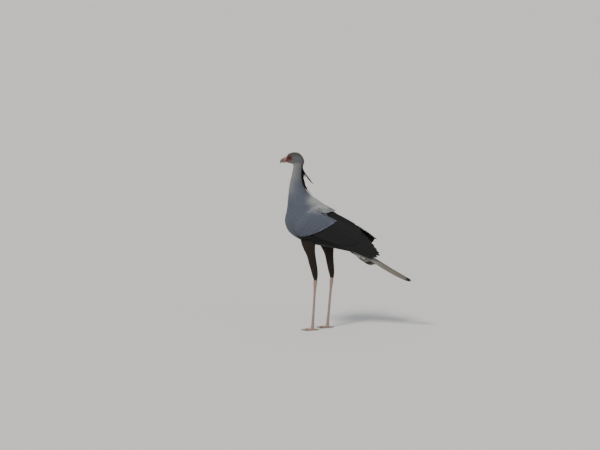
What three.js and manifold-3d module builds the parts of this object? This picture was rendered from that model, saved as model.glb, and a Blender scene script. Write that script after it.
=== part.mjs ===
import * as THREE from "three";
import { mergeVertices } from "three/addons/utils/BufferGeometryUtils.js";
import Module from "manifold-3d";

// Secretary bird standing in half a stride, life size, as a still model.
// Millimetres, +Z up. The bird faces -Y, its left side is +X, and both feet rest on Z = 0.
// Side-view places are written [y, z]. The whole bird is centred over the origin at the end.

const wasm = await Module();
wasm.setup();

// Gap kept between pieces that touch, and the growth of a body that cuts its neighbour
const GAP = 0.3;
const CLEAR = 0.45;
const LEFT = 1;
const RIGHT = -1;
const { degToRad, lerp, clamp, smoothstep } = THREE.MathUtils;

// Materials of the real bird
const finish = (color, roughness) => new THREE.MeshStandardMaterial({ color, roughness, metalness: 0 });
const greyPlumage = finish(0xa3a8ad, 0.9);
const blackPlumage = finish(0x1d1d20, 0.85);
const facePlumage = finish(0xb0aeac, 0.9);
const billHorn = finish(0x9b8f94, 0.4);
const eyeGloss = finish(0x2b1a12, 0.1);
const legScale = finish(0xb99a86, 0.6);
const clawHorn = finish(0x2a2523, 0.4);

// Repeatable variety: a number from -1 to 1 for each seed
const vary = (seed) => 2 * THREE.MathUtils.seededRandom(seed * 7919 + 17) - 1;

// A smooth function through a few named rows: [x, value, value, ...], level past both ends
function through(rows) {
  const xs = rows.map((row) => row[0]);
  const values = rows.flatMap((row) => row.slice(1));
  const curve = new THREE.CubicInterpolant(xs, values, rows[0].length - 1);
  return (x) => Array.from(curve.evaluate(clamp(x, xs[0], xs.at(-1))));
}

// Solids from geometries

function solidOf(geometry) {
  const bare = new THREE.BufferGeometry();
  bare.setAttribute("position", geometry.getAttribute("position"));
  bare.setIndex(geometry.getIndex());
  const merged = mergeVertices(bare, 1e-4);
  const corners = merged.index.array;
  const kept = [];
  for (let i = 0; i < corners.length; i += 3) {
    const [a, b, c] = corners.subarray(i, i + 3);
    if (a !== b && b !== c && a !== c) kept.push(a, b, c);
  }
  const vertProperties = merged.attributes.position.array;
  const build = (triVerts) =>
    new wasm.Manifold(new wasm.Mesh({ numProp: 3, vertProperties, triVerts: new Uint32Array(triVerts) }));
  const made = build(kept);
  return made.volume() > 0 ? made : build(kept.reverse());
}

function joined(solids) {
  return solids.reduce((whole, piece) => whole.add(piece));
}

// The node's mesh: its largest closed surface
function named(name, solid, material) {
  const bodies = solid.decompose();
  const body = bodies.reduce((best, other) => (other.volume() > best.volume() ? other : best));
  const { vertProperties, triVerts } = body.getMesh();
  const geometry = new THREE.BufferGeometry();
  geometry.setAttribute("position", new THREE.BufferAttribute(vertProperties, 3));
  geometry.setIndex(new THREE.BufferAttribute(triVerts, 1));
  geometry.computeVertexNormals();
  const mesh = new THREE.Mesh(geometry, material);
  mesh.name = name;
  return mesh;
}

// A closed tube of flat-ended rings. at(t, angle, reach) gives a point: reach 0 is the ring's centre.
function tube(rings, around, at) {
  const geometry = new THREE.SphereGeometry(1, around, rings + 1);
  const { position, uv } = geometry.attributes;
  for (let i = 0; i < position.count; i++) {
    const row = Math.round((1 - uv.getY(i)) * (rings + 1));
    const pole = row === 0 || row === rings + 1;
    const t = clamp((row - 1) / (rings - 1), 0, 1);
    const angle = pole ? 0 : (Math.round(uv.getX(i) * around) % around) * ((2 * Math.PI) / around);
    position.setXYZ(i, ...at(t, angle, pole ? 0 : 1).toArray());
  }
  return solidOf(geometry);
}

// A closed plate of columns by rows with the same triangles on both faces.
// at(across, along, face) gives a point: across and along run from 0 to 1, face is 0 below and 1 on top.
function plate(columns, rows, at) {
  const points = [];
  for (const face of [1, 0])
    for (let j = 0; j <= rows; j++)
      for (let i = 0; i <= columns; i++) points.push(...at(i / columns, j / rows, face).toArray());
  const under = (columns + 1) * (rows + 1);
  const corner = (i, j) => j * (columns + 1) + i;
  const index = [];
  const wall = (a, b) => index.push(a, b, b + under, a, b + under, a + under);
  for (let j = 0; j < rows; j++)
    for (let i = 0; i < columns; i++) {
      const [a, b, c, d] = [corner(i, j), corner(i + 1, j), corner(i + 1, j + 1), corner(i, j + 1)];
      const quad = [a, c, b, a, d, c];
      index.push(...quad, ...quad.map((k) => k + under).reverse());
    }
  for (let i = 0; i < columns; i++) {
    wall(corner(i, 0), corner(i + 1, 0));
    wall(corner(i + 1, rows), corner(i, rows));
  }
  for (let j = 0; j < rows; j++) {
    wall(corner(0, j + 1), corner(0, j));
    wall(corner(columns, j), corner(columns, j + 1));
  }
  const geometry = new THREE.BufferGeometry();
  geometry.setAttribute("position", new THREE.BufferAttribute(new Float32Array(points), 3));
  geometry.setIndex(index);
  return solidOf(geometry);
}

const side = (x, [y, z]) => new THREE.Vector3(x, y, z);

// Neck and torso: sections from the nape to the root of the tail

const bodySections = [
  { back: [-156, 1128], front: [-208, 1098], halfWidth: 24 }, // inside the head
  { back: [-151, 1084], front: [-214, 1060], halfWidth: 29 }, // nape
  { back: [-150, 1027], front: [-223, 1016], halfWidth: 33 },
  { back: [-146, 981], front: [-234, 971], halfWidth: 40 }, // mid neck
  { back: [-129, 938], front: [-241, 920], halfWidth: 51 },
  { back: [-96, 898], front: [-246, 859], halfWidth: 65 }, // root of the neck
  { back: [-50, 866], front: [-253, 793], halfWidth: 79 }, // mantle and upper breast
  { back: [0, 831], front: [-266, 720], halfWidth: 89 }, // breast
  { back: [52, 794], front: [-240, 653], halfWidth: 91 },
  { back: [98, 755], front: [-170, 602], halfWidth: 86 },
  { back: [132, 714], front: [-84, 571], halfWidth: 75 }, // belly and rump
  { back: [158, 675], front: [6, 553], halfWidth: 60 },
  { back: [171, 640], front: [80, 543], halfWidth: 46 },
  { back: [172, 608], front: [132, 537], halfWidth: 36 }, // root of the tail
];
const bodyRow = ({ back, front, halfWidth }, i) => [i, ...back, ...front, halfWidth];
const bodyAt = through(bodySections.map(bodyRow));
const BREAST_FULLNESS = 0.1; // the widest line lies nearer the breast than the back

function bodyPoint(station, angle, reach, grow = 0) {
  const [backY, backZ, frontY, frontZ, halfWidth] = bodyAt(station);
  const half = new THREE.Vector2(backY - frontY, backZ - frontZ).multiplyScalar(0.5);
  const stretch = ((half.length() + grow) / half.length()) * Math.cos(angle) * reach;
  const lateral = (halfWidth + grow) * Math.sin(angle) * (1 - BREAST_FULLNESS * Math.cos(angle)) * reach;
  return side(lateral, [(backY + frontY) / 2 + half.x * stretch, (backZ + frontZ) / 2 + half.y * stretch]);
}

function bodyTube(from, to, rings, around, grow = 0) {
  return tube(rings, around, (t, angle, reach) => bodyPoint(lerp(from, to, t), angle, reach, grow));
}

const HEAD_JOINT = 1; // stations where the neck is parted
const NECK_JOINT = 3;
const TORSO_JOINT = 5.2;
const TAIL_JOINT = bodySections.length - 1;
const PART = 0.008; // half a parting cut, in stations
const BODY_AROUND = 24;
const torso = bodyTube(TORSO_JOINT + PART, TAIL_JOINT, 16, BODY_AROUND);
const grownTorso = bodyTube(TORSO_JOINT + PART, TAIL_JOINT, 16, BODY_AROUND, CLEAR);
const neckLower = bodyTube(NECK_JOINT + PART, TORSO_JOINT - PART, 6, BODY_AROUND);
const neckUpper = bodyTube(HEAD_JOINT + PART, NECK_JOINT - PART, 5, BODY_AROUND);

// Head, in its own frame: a runs back from the root of the bill, h runs up

const BILL_ROOT = [-251, 1127];
const HEAD_PITCH = degToRad(8); // how far the bill points below the level
const headPlace = (x, a, h) =>
  side(x, [
    BILL_ROOT[0] + a * Math.cos(HEAD_PITCH) - h * Math.sin(HEAD_PITCH),
    BILL_ROOT[1] + a * Math.sin(HEAD_PITCH) + h * Math.cos(HEAD_PITCH),
  ]);

// Rows of [a, top, bottom, half width]
const skullAt = through([
  [0, 22, -17, 12.5],
  [7, 31.5, -21, 17.5],
  [18, 38.5, -26, 23],
  [33, 42.5, -31, 26.5],
  [50, 43.5, -36, 28],
  [68, 40.5, -40, 28.5],
  [84, 33, -43, 27.5],
  [97, 20, -42, 23.5],
  [105, 6, -37, 17],
  [110, -6, -28, 9],
]);
const upperBillAt = through([
  [-48, -9, -15, 0.8],
  [-45.5, -1, -14.5, 2.4],
  [-39, 8, -10, 4.8],
  [-30, 14.5, -7.2, 7],
  [-20, 18.5, -6.6, 9],
  [-10, 20.8, -7, 10.8],
  [0, 22, -7, 12.2],
]);
const lowerBillAt = through([
  [-38, -8.6, -12.2, 2],
  [-31, -5, -13.8, 5],
  [-22, -5, -15.8, 7.5],
  [-12, -5, -16.8, 9.5],
  [0, -5, -17, 11],
]);

function headTube(profile, from, to, rings, around, grow = 0) {
  return tube(rings, around, (t, angle, reach) => {
    // Rings lie closer together near both ends
    const a = lerp(from, to, lerp(t, smoothstep(t, 0, 1), 0.5));
    const [top, bottom, halfWidth] = profile(a);
    const middle = (top + bottom) / 2;
    const half = (top - bottom) / 2 + grow;
    const x = (halfWidth + grow) * Math.sin(angle) * reach;
    return headPlace(x, a, middle + half * Math.cos(angle) * reach);
  });
}

function ball(radius, around, x, a, h, stretch = [1, 1, 1]) {
  const geometry = new THREE.SphereGeometry(radius, around, around / 2);
  geometry.scale(...stretch);
  geometry.rotateX(HEAD_PITCH);
  const centre = headPlace(x, a, h);
  geometry.translate(centre.x, centre.y, centre.z);
  return solidOf(geometry);
}

const SKULL_BACK = 110;
const EYE = { x: 15.6, a: 19, h: 13, radius: 10.5 };
const LID_THICKNESS = 1;
const MOUTH = { a: 7, h: -7.3, length: 15, height: 1.1, depth: 1.8 };
const EYE_AROUND = 12;
const eye = (s) => ball(EYE.radius, EYE_AROUND, s * EYE.x, EYE.a, EYE.h);

function skull() {
  const form = headTube(skullAt, GAP, SKULL_BACK, 12, 18);
  const nape = bodyTube(0, HEAD_JOINT - PART, 3, BODY_AROUND);
  const lidRadius = EYE.radius + GAP + LID_THICKNESS;
  const lids = [LEFT, RIGHT].map((s) => ball(lidRadius, EYE_AROUND, s * EYE.x, EYE.a, EYE.h));
  const brows = [LEFT, RIGHT].map((s) => ball(1, 8, s * 19.5, 19, 25, [5.2, 16, 3.4]));
  const openings = [LEFT, RIGHT].flatMap((s) => [
    ball(EYE.radius + GAP, EYE_AROUND, s * EYE.x, EYE.a, EYE.h),
    ball(1, 12, s * (EYE.x + 12), EYE.a, EYE.h, [10, 7.6, 6.4]),
  ]);
  const slot = new THREE.BoxGeometry(60, MOUTH.length, MOUTH.height);
  slot.rotateX(HEAD_PITCH);
  slot.translate(...headPlace(0, MOUTH.a, MOUTH.h).toArray());
  const mouth = solidOf(slot).subtract(headTube(skullAt, GAP, SKULL_BACK, 12, 18, -MOUTH.depth));
  // The parting cut below the head lies in the section plane of the neck
  const [backY, backZ, frontY, frontZ] = bodyAt(HEAD_JOINT - PART);
  const length = Math.hypot(backY - frontY, backZ - frontZ);
  const normal = [0, (frontZ - backZ) / length, (backY - frontY) / length];
  const whole = joined([form, nape, ...lids, ...brows]);
  const cut = whole.trimByPlane(normal, normal[1] * backY + normal[2] * backZ);
  return [...openings, mouth].reduce((rest, tool) => rest.subtract(tool), cut);
}

const UPPER_BILL = [upperBillAt, -48, 0, 11, 12];

function upperBill() {
  const nostrils = [LEFT, RIGHT].map((s) => ball(1, 8, s * 11.3, -9.5, 9.5, [2.6, 4.2, 1.7]));
  return nostrils.reduce((bill, hole) => bill.subtract(hole), headTube(...UPPER_BILL));
}

function lowerBill() {
  return headTube(lowerBillAt, -37.5, 0, 6, 12).subtract(headTube(...UPPER_BILL, GAP));
}

// Envelope of the folded wings: sections along an axis that slopes down to the wing tips

const FLANK_ORIGIN = [-60, 755];
const FLANK_SLOPE = degToRad(31);
const flankAlong = [Math.cos(FLANK_SLOPE), -Math.sin(FLANK_SLOPE)];
const flankUp = [Math.sin(FLANK_SLOPE), Math.cos(FLANK_SLOPE)];
// Rows of [distance along the axis, half width, height above the axis, depth below it]
const flankAt = through([
  [-170, 94, 94, 205],
  [-90, 107, 100, 216],
  [-20, 110, 103, 212],
  [60, 107, 104, 198],
  [130, 98, 102, 184],
  [211, 82, 98, 165],
  [300, 64, 92, 145],
  [400, 52, 82, 125],
  [500, 45, 72, 110],
]);

// [distance along the axis, angle from the top] of a side-view place
function flankPolar([y, z]) {
  const rel = [y - FLANK_ORIGIN[0], z - FLANK_ORIGIN[1]];
  const along = rel[0] * flankAlong[0] + rel[1] * flankAlong[1];
  const above = rel[0] * flankUp[0] + rel[1] * flankUp[1];
  const [, height, depth] = flankAt(along);
  return [along, Math.acos(clamp(above / (above > 0 ? height : depth), -0.985, 0.992))];
}

function flankPoint(s, along, angle, lift) {
  const [halfWidth, height, depth] = flankAt(along);
  const reachUp = Math.cos(angle) > 0 ? height : depth;
  const normal = new THREE.Vector2(Math.sin(angle) / halfWidth, Math.cos(angle) / reachUp).normalize();
  const x = halfWidth * Math.sin(angle) + lift * normal.x;
  const above = reachUp * Math.cos(angle) + lift * normal.y;
  return side(s * x, [
    FLANK_ORIGIN[0] + along * flankAlong[0] + above * flankUp[0],
    FLANK_ORIGIN[1] + along * flankAlong[1] + above * flankUp[1],
  ]);
}

// A line over the fan from its top feather, 0, to its lowest one, 1, given as side-view places.
// It runs straight on past both ends.
function flankLine(places) {
  const line = through(places.map((place, i) => [i / (places.length - 1), ...flankPolar(place)]));
  return (f) => {
    const end = clamp(f, 0.01, 0.99);
    const [near, far] = [line(end), line(f < end ? 0 : 1)];
    return f === end ? near : near.map((value, k) => value + (far[k] - value) * (Math.abs(f - end) / 0.01));
  };
}

// Folded wing: each tier of feathers is a fan of overlapping vanes between a line of roots and a line
// of tips. Each tier rises out of the arm's plate, so that its tips lie over the tier behind it.

const wingTiers = [
  {
    name: "primaries",
    count: 9,
    grid: [2, 4],
    roots: [[40, 740], [-40, 690], [-110, 640]],
    tips: [[214, 674], [262, 636], [300, 596], [334, 554], [366, 508], [346, 487], [300, 474]],
    farTips: [[232, 682], [292, 650], [345, 614], [318, 568], [348, 514], [336, 490], [296, 476]],
    start: through([[0, 0.6], [0.5, 0.5], [1, 0.15]]),
    overlap: 1.5,
    rise: through([[0, -8.5], [0.16, -4.4], [1, -1.5]]),
    slope: 2.2,
  },
  {
    name: "secondaries",
    count: 8,
    grid: [2, 4],
    roots: [[-8, 824], [-50, 756], [-96, 704], [-136, 660]],
    tips: [[188, 712], [236, 666], [240, 612], [196, 574], [130, 568], [52, 584]],
    start: through([[0, 0.1], [0.3, 0.2], [1, 0.2]]),
    overlap: 1.6,
    rise: through([[0, -8], [0.12, -3.2], [0.4, -0.8], [1, 2.5]]),
    slope: 2,
  },
  {
    name: "greater_coverts",
    count: 8,
    grid: [2, 4],
    roots: [[-50, 800], [-92, 756], [-150, 704], [-184, 668]],
    tips: [[80, 732], [46, 710], [20, 697], [-20, 674], [-59, 657], [-92, 642], [-125, 629], [-162, 614]],
    start: through([[0, 0.25], [1, 0.25]]),
    overlap: 1.5,
    rise: through([[0, -8], [0.2, -2.6], [1, 4]]),
    slope: 1.8,
  },
  {
    name: "median_coverts",
    count: 7,
    grid: [2, 3],
    roots: [[-80, 812], [-122, 770], [-174, 720], [-200, 682]],
    tips: [[26, 756], [-12, 732], [-42, 716], [-80, 698], [-118, 682], [-152, 668], [-188, 652]],
    start: through([[0, 0.22], [1, 0.22]]),
    overlap: 1.5,
    rise: through([[0, -8], [0.2, -2.2], [1, 5.5]]),
    slope: 1.8,
  },
  {
    name: "scapulars",
    count: 4,
    grid: [2, 4],
    roots: [[-56, 856], [-92, 822]],
    tips: [[84, 795], [46, 790], [-4, 784]],
    start: through([[0, 0.04], [1, 0.04]]),
    overlap: 1.7,
    rise: through([[0, -3], [0.2, 4], [1, 8]]),
    slope: 1.8,
  },
];
const VANE_THICKNESS = 0.9;
// Rows of [share of the vane's length, share of its greatest half width, share of its thickness]
const vaneShape = through([
  [0, 0.85, 1],
  [0.5, 1, 1],
  [0.8, 0.92, 1],
  [0.93, 0.64, 0.85],
  [1, 0.16, 0.65],
]);
const vaneRow = (v) => 1 - (1 - v) ** 1.6; // rows lie closer together near the tip

// The plate of the arm, on which all the tiers are rooted, and the smooth small coverts in front
const armPlates = [
  {
    roots: [[-24, 842], [-92, 786], [-150, 716], [-166, 676]],
    tips: [[150, 722], [196, 668], [186, 622], [150, 592], [80, 576], [10, 598], [-60, 622]],
    inner: () => -10.5,
    outer: () => -5,
  },
  {
    roots: [[-56, 862], [-132, 806], [-196, 734], [-206, 688]],
    tips: [[-8, 834], [-36, 784], [-84, 744], [-132, 708], [-190, 672]],
    inner: (along) => lerp(-40, -5, along),
    outer: (along) => lerp(-23, 3, smoothstep(along, -0.1, 0.55)),
  },
];
// Everything under the wing stays inside this
const wingCover = {
  roots: [[0, 845], [-90, 790], [-180, 722], [-222, 650]],
  tips: [
    [240, 720],
    [250, 600],
    [200, 498],
    [100, 530],
    [16, 574],
    [-44, 604],
    [-100, 622],
    [-166, 602],
    [-222, 600],
  ],
  inner: () => -12.5,
  outer: () => 60,
};

// A closed plate over one fan of the flank, from the lift of its inner face to that of its outer one
function flankPlate(s, { roots, tips, inner, outer }, columns = 8, rows = 4) {
  const rootLine = flankLine(roots);
  const tipLine = flankLine(tips);
  return plate(columns, rows, (across, along, face) => {
    const [a0, t0] = rootLine(across);
    const [a1, t1] = tipLine(across);
    return flankPoint(s, lerp(a0, a1, along), lerp(t0, t1, along), lerp(inner(along), outer(along), face));
  });
}

function vane(s, tier, rootLine, tipLine, i) {
  const seed = i + 31 * tier.count + (s === LEFT ? 0 : 500);
  const middle = (i + 0.5 + 0.1 * vary(seed)) / tier.count;
  const reach = 1 + 0.025 * vary(seed + 1);
  return plate(...tier.grid, (u, v, face) => {
    const t = vaneRow(v);
    const [width, thick] = vaneShape(t);
    // Feathers from the middle of this one, downwards: its lower edge lies over the vane below it
    const away = (u - 0.5) * tier.overlap * width;
    const f = middle + away / tier.count;
    const out = lerp(tier.start(middle)[0], reach, t);
    const [a0, t0] = rootLine(f);
    const [a1, t1] = tipLine(f);
    const lift = tier.rise(t)[0] + tier.slope * away + (face - 1) * VANE_THICKNESS * thick;
    return flankPoint(s, lerp(a0, a1, out), lerp(t0, t1, out), lift);
  });
}

function wing(s) {
  const vanes = wingTiers.flatMap((tier) => {
    const rootLine = flankLine(tier.roots);
    const tipLine = flankLine((s === RIGHT && tier.farTips) || tier.tips);
    return Array.from({ length: tier.count }, (_, i) => vane(s, tier, rootLine, tipLine, i));
  });
  return joined([...armPlates.map((arm) => flankPlate(s, arm)), ...vanes]).subtract(grownTorso);
}

// Tail: a steep roof of feathers, the central pair long and the others short and graduated

const TAIL_DROP = degToRad(29);
const TAIL_ROOT = [152, 572.5];
const tailAlong = [Math.cos(TAIL_DROP), -Math.sin(TAIL_DROP)];
const tailUp = [Math.sin(TAIL_DROP), Math.cos(TAIL_DROP)];
// Rows of [distance along the tail, half width of the roof, its depth, height of its ridge]
const tailAt = through([
  [0, 20, 26, 14],
  [50, 27, 38, 10],
  [110, 33, 48, 5],
  [200, 34, 50, 0],
  [330, 34, 48, -7],
  [490, 34, 44, -10],
]);
// Feathers on each side, from the middle outwards: length, angle of the middle line, half its spread
const rectrices = [
  { length: 486, angle: 0.5, spread: 0.62, grid: [3, 6] },
  { length: 262, angle: 0.54, spread: 0.42, grid: [2, 3] },
  { length: 246, angle: 0.74, spread: 0.42, grid: [2, 3] },
  { length: 232, angle: 0.94, spread: 0.42, grid: [2, 3] },
  { length: 219, angle: 1.14, spread: 0.42, grid: [2, 3] },
  { length: 207, angle: 1.34, spread: 0.42, grid: [2, 3] },
];
const TAIL_STEP = 1.7; // from one tail feather down to the next
const TAIL_START = 14;
const TAIL_COVERTS = 5;

function tailPoint(along, angle, lift) {
  const [halfWidth, depth, ridge] = tailAt(along);
  const normal = new THREE.Vector2(Math.sin(angle) / halfWidth, Math.cos(angle) / depth).normalize();
  const x = halfWidth * Math.sin(angle) + lift * normal.x;
  const above = ridge - depth * (1 - Math.cos(angle)) + lift * normal.y;
  return side(x, [
    TAIL_ROOT[0] + along * tailAlong[0] + above * tailUp[0],
    TAIL_ROOT[1] + along * tailAlong[1] + above * tailUp[1],
  ]);
}

function tailVane(grid, start, length, angle, spread, lift) {
  return plate(...grid, (u, v, face) => {
    const t = vaneRow(v);
    const [width, thick] = vaneShape(t);
    const round = angle + (u * 2 - 1) * spread * width;
    return tailPoint(lerp(start, length, t), round, lift(t) + (face - 1) * VANE_THICKNESS * thick);
  });
}

function tail() {
  const [backY, backZ, frontY, frontZ, halfWidth] = bodyAt(TAIL_JOINT);
  const middle = [(backY + frontY) / 2, (backZ + frontZ) / 2];
  const half = [(backY - frontY) / 2, (backZ - frontZ) / 2];
  const root = tube(4, 14, (t, angle, reach) => {
    const size = reach * lerp(1, 0.3, t ** 1.3);
    const along = GAP + t * 112;
    return side(halfWidth * Math.sin(angle) * size, [
      middle[0] + tailAlong[0] * along + half[0] * Math.cos(angle) * size,
      middle[1] + tailAlong[1] * along + half[1] * Math.cos(angle) * size,
    ]);
  });
  const feathers = [LEFT, RIGHT].flatMap((s) =>
    rectrices.map(({ length, angle, spread, grid }, i) => {
      const level = i === 0 ? (s === LEFT ? 1.2 : 2.9) : -TAIL_STEP * i;
      const own = length + 5 * vary(i + (s === LEFT ? 0 : 40));
      return tailVane(grid, TAIL_START, own, s * angle, spread, () => level);
    }),
  );
  const coverts = Array.from({ length: TAIL_COVERTS }, (_, i) => {
    const across = i - (TAIL_COVERTS - 1) / 2;
    const length = 148 - 9 * Math.abs(across) + 4 * vary(i + 80);
    const level = 6.6 - TAIL_STEP * Math.abs(across) - (across < 0 ? TAIL_STEP / 2 : 0);
    const lift = (t) => lerp(level + 8, level, Math.min(1, t * 1.6));
    return tailVane([2, 3], 20, length, across * 0.46, 0.42, lift);
  });
  return joined([root, ...feathers, ...coverts]);
}

// Crest: long spoon-shaped plumes that hang from the nape, each in a layer of its own behind the neck

const PLUME_THICKNESS = 0.9;
const PLUME_LEAVES = 16; // length over which a plume comes out through the nape
const PLUME_STANDS = 3.5; // how far it stands off there
// Rows of [share of the plume's length, share of its greatest width]
const plumeShape = through([
  [0, 0.4],
  [0.35, 0.42],
  [0.6, 0.7],
  [0.82, 1],
  [0.94, 0.8],
  [1, 0.3],
]);
// Root height on the nape, length, sideways lean, width, turn about its length, how far the tip stands
// off the line of the nape, and how straight it gets there: 0 slants evenly, 1 falls along the neck
const plumes = [
  { root: 1101, length: 206, lean: -2, width: 20, turn: 0.6, off: 16, hug: 1 },
  { root: 1103, length: 174, lean: 10, width: 19, turn: 0.5, off: 12, hug: 1 },
  { root: 1105, length: 152, lean: -12, width: 18, turn: -0.5, off: 10, hug: 1 },
  { root: 1110, length: 128, lean: 4, width: 18, turn: 0.7, off: 25, hug: 0.7 },
  { root: 1114, length: 104, lean: -10, width: 17, turn: -0.6, off: 27, hug: 0.6 },
  { root: 1120, length: 152, lean: -5, width: 20, turn: 0.8, off: 63, hug: 0 },
  { root: 1126, length: 128, lean: 9, width: 18, turn: -0.7, off: 56, hug: 0 },
  { root: 1133, length: 104, lean: -11, width: 17, turn: 0.7, off: 46, hug: 0 },
  { root: 1140, length: 80, lean: 4, width: 16, turn: -0.7, off: 35, hug: 0 },
];
const napeAt = through([
  [880, -84],
  [905, -104],
  [938, -129],
  [981, -146],
  [1027, -150],
  [1075, -150],
  [1100, -146],
  [1122, -142],
  [1144, -144],
]);

function plume({ root, length, lean, width, turn, off, hug }) {
  const leaves = PLUME_LEAVES / length;
  const along = through([[0, 0], [0.2, leaves], [0.4, 0.36], [0.6, 0.6], [0.8, 0.82], [1, 1]]);
  return plate(2, 5, (u, v, face) => {
    const [t] = along(v);
    const z = root - length * t;
    const free = (t - leaves) / (1 - leaves);
    const share = lerp(Math.max(0, free) ** 1.3, smoothstep(free, 0, 0.7), hug);
    const stand = t < leaves ? lerp(-9, PLUME_STANDS, t / leaves) : lerp(PLUME_STANDS, off, share);
    const across = (u - 0.5) * width * plumeShape(t)[0];
    const twist = turn * smoothstep(t, 0.1, 0.8);
    const depth = (face - 0.5) * PLUME_THICKNESS * lerp(1.2, 0.7, t) + 0.6 * (1 - Math.abs(2 * u - 1));
    return side(lean * lerp(0.3, 1.8, t) + across * Math.cos(twist), [
      napeAt(z)[0] + stand + across * Math.sin(twist) + depth,
      z,
    ]);
  });
}

// Legs: feathered thigh, scaled shank, toes and claws

const legs = {
  left: {
    s: LEFT,
    // Rows of [height, centre y, half depth, centre x, half width]
    thigh: [
      [340, -63, 12, 51, 10],
      [352, -64, 15, 51, 12.5],
      [390, -69, 21, 51, 17],
      [440, -79, 25, 51, 21],
      [500, -92, 29, 51, 26],
      [545, -104, 38, 47, 26],
      [590, -110, 48, 41, 22],
      [625, -110, 48, 38, 18],
      [665, -108, 30, 34, 12],
    ],
    ankle: [51, -63],
    foot: [49, -82],
    turn: 4,
  },
  right: {
    s: RIGHT,
    thigh: [
      [340, 46, 12, -51, 10],
      [352, 46, 14.5, -51, 12.5],
      [390, 42, 20, -51, 17],
      [440, 35, 24, -51, 21],
      [500, 27, 30, -51, 26],
      [545, 17, 42, -47, 26],
      [590, 8, 50, -41, 22],
      [625, 0, 50, -38, 18],
      [660, -4, 30, -34, 12],
    ],
    ankle: [-51, 46],
    foot: [-49, 18],
    turn: -3,
  },
};

function thigh(leg) {
  const rows = through(leg.thigh);
  const top = leg.thigh.at(-1)[0];
  const whole = tube(10, 14, (t, angle, reach) => {
    const z = lerp(leg.thigh[0][0], top, t);
    const [y, halfDepth, x, halfWidth] = rows(z);
    return side(x + halfWidth * Math.cos(angle) * reach, [y + halfDepth * Math.sin(angle) * reach, z]);
  });
  // The thigh goes in under the wing, so it is cut clear of everything on the flank
  return whole.subtract(grownTorso).subtract(flankPlate(leg.s, wingCover));
}

const SHANK_TOP = 340 - GAP;
const PALM_HEIGHT = 17;
const SCUTES = 13;
const SCUTE_HEIGHT = 1.1;
// Rows of [share of the shank from the foot, half depth, half width]
const shankAt = through([
  [0, 11, 10.5],
  [0.12, 9, 8],
  [0.45, 7.6, 6.4],
  [0.8, 8.6, 7],
  [0.93, 12.5, 9.5],
  [1, 11.5, 9.5],
]);

function shank(leg) {
  const rings = SCUTES * 2;
  return tube(rings, 8, (t, angle, reach) => {
    // Each scute is one pair of rings: it stands out at its lower edge and runs back in at its upper one
    const ring = Math.round(t * (rings - 1));
    const scute = Math.floor(ring / 2);
    const lower = ring % 2 === 0;
    const share = (lower ? scute : scute + 0.93) / (SCUTES - 0.07);
    const [halfDepth, halfWidth] = shankAt(share);
    const front = Math.max(0, -Math.sin(angle));
    const depth = halfDepth + (lower ? SCUTE_HEIGHT * front : 0);
    return side(lerp(leg.foot[0], leg.ankle[0], share) + halfWidth * Math.cos(angle) * reach, [
      lerp(leg.foot[1], leg.ankle[1], share) + depth * Math.sin(angle) * reach,
      lerp(PALM_HEIGHT, SHANK_TOP, share),
    ]);
  });
}

// Toes: bearing from straight ahead, length, root and tip radius, claw length
const toes = [
  { name: "middle", bearing: 2, length: 62, root: 8.2, tip: 6.2, claw: 19 },
  { name: "inner", bearing: -33, length: 46, root: 8, tip: 6, claw: 20 },
  { name: "outer", bearing: 34, length: 48, root: 7.6, tip: 5.8, claw: 17 },
  { name: "hind", bearing: 172, length: 27, root: 7.6, tip: 6, claw: 19 },
];

function toeFrame(leg, toe) {
  const bearing = degToRad(toe.bearing * leg.s + leg.turn);
  return {
    ahead: new THREE.Vector3(Math.sin(bearing), -Math.cos(bearing), 0),
    across: new THREE.Vector3(Math.cos(bearing), Math.sin(bearing), 0),
    root: new THREE.Vector3(leg.foot[0], leg.foot[1], 0),
  };
}

const SINK = 1.6; // how far the pads are pressed flat on the floor

function toeSolid(leg, toe) {
  const { ahead, across, root } = toeFrame(leg, toe);
  const rings = Math.round(toe.length / 7) + 2;
  return tube(rings, 8, (t, angle, reach) => {
    // Pads below, and on top the scutes, which stand out at every second ring
    const ring = Math.round(t * (rings - 1));
    const pad = 0.6 * Math.cos(t * 6 * Math.PI);
    const plateEdge = ring % 2 === 0 && t < 1 ? 0.7 * Math.max(0, Math.sin(angle)) : 0;
    const radius = (lerp(toe.root, toe.tip, t) + (Math.sin(angle) < 0 ? pad : 0)) * (t === 1 ? 0.74 : 1);
    const height = lerp(toe.root, toe.tip, t) - SINK + 5 * Math.max(0, 0.35 - t);
    return root
      .clone()
      .addScaledVector(ahead, t * toe.length)
      .addScaledVector(across, radius * Math.cos(angle) * reach)
      .setZ(height + (radius + plateEdge) * Math.sin(angle) * reach);
  });
}

function clawSolid(leg, toe) {
  const { ahead, across, root } = toeFrame(leg, toe);
  const bend = 1.15; // how far the claw turns down, in radians
  return tube(5, 6, (t, angle, reach) => {
    const radius = lerp(toe.tip * 0.62, 0.6, t);
    const turned = 0.15 + bend * t;
    const forward = (Math.sin(turned) - Math.sin(0.15)) * (toe.claw / bend);
    const drop = (Math.cos(0.15) - Math.cos(turned)) * (toe.claw / bend);
    const middle = toe.tip - SINK + 2.6 - drop * 0.48;
    const slant = radius * Math.sin(angle) * Math.sin(turned) * reach * t;
    return root
      .clone()
      .addScaledVector(ahead, toe.length + GAP + forward + slant)
      .addScaledVector(across, radius * 0.75 * Math.cos(angle) * reach)
      .setZ(middle + radius * Math.sin(angle) * reach);
  });
}

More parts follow.
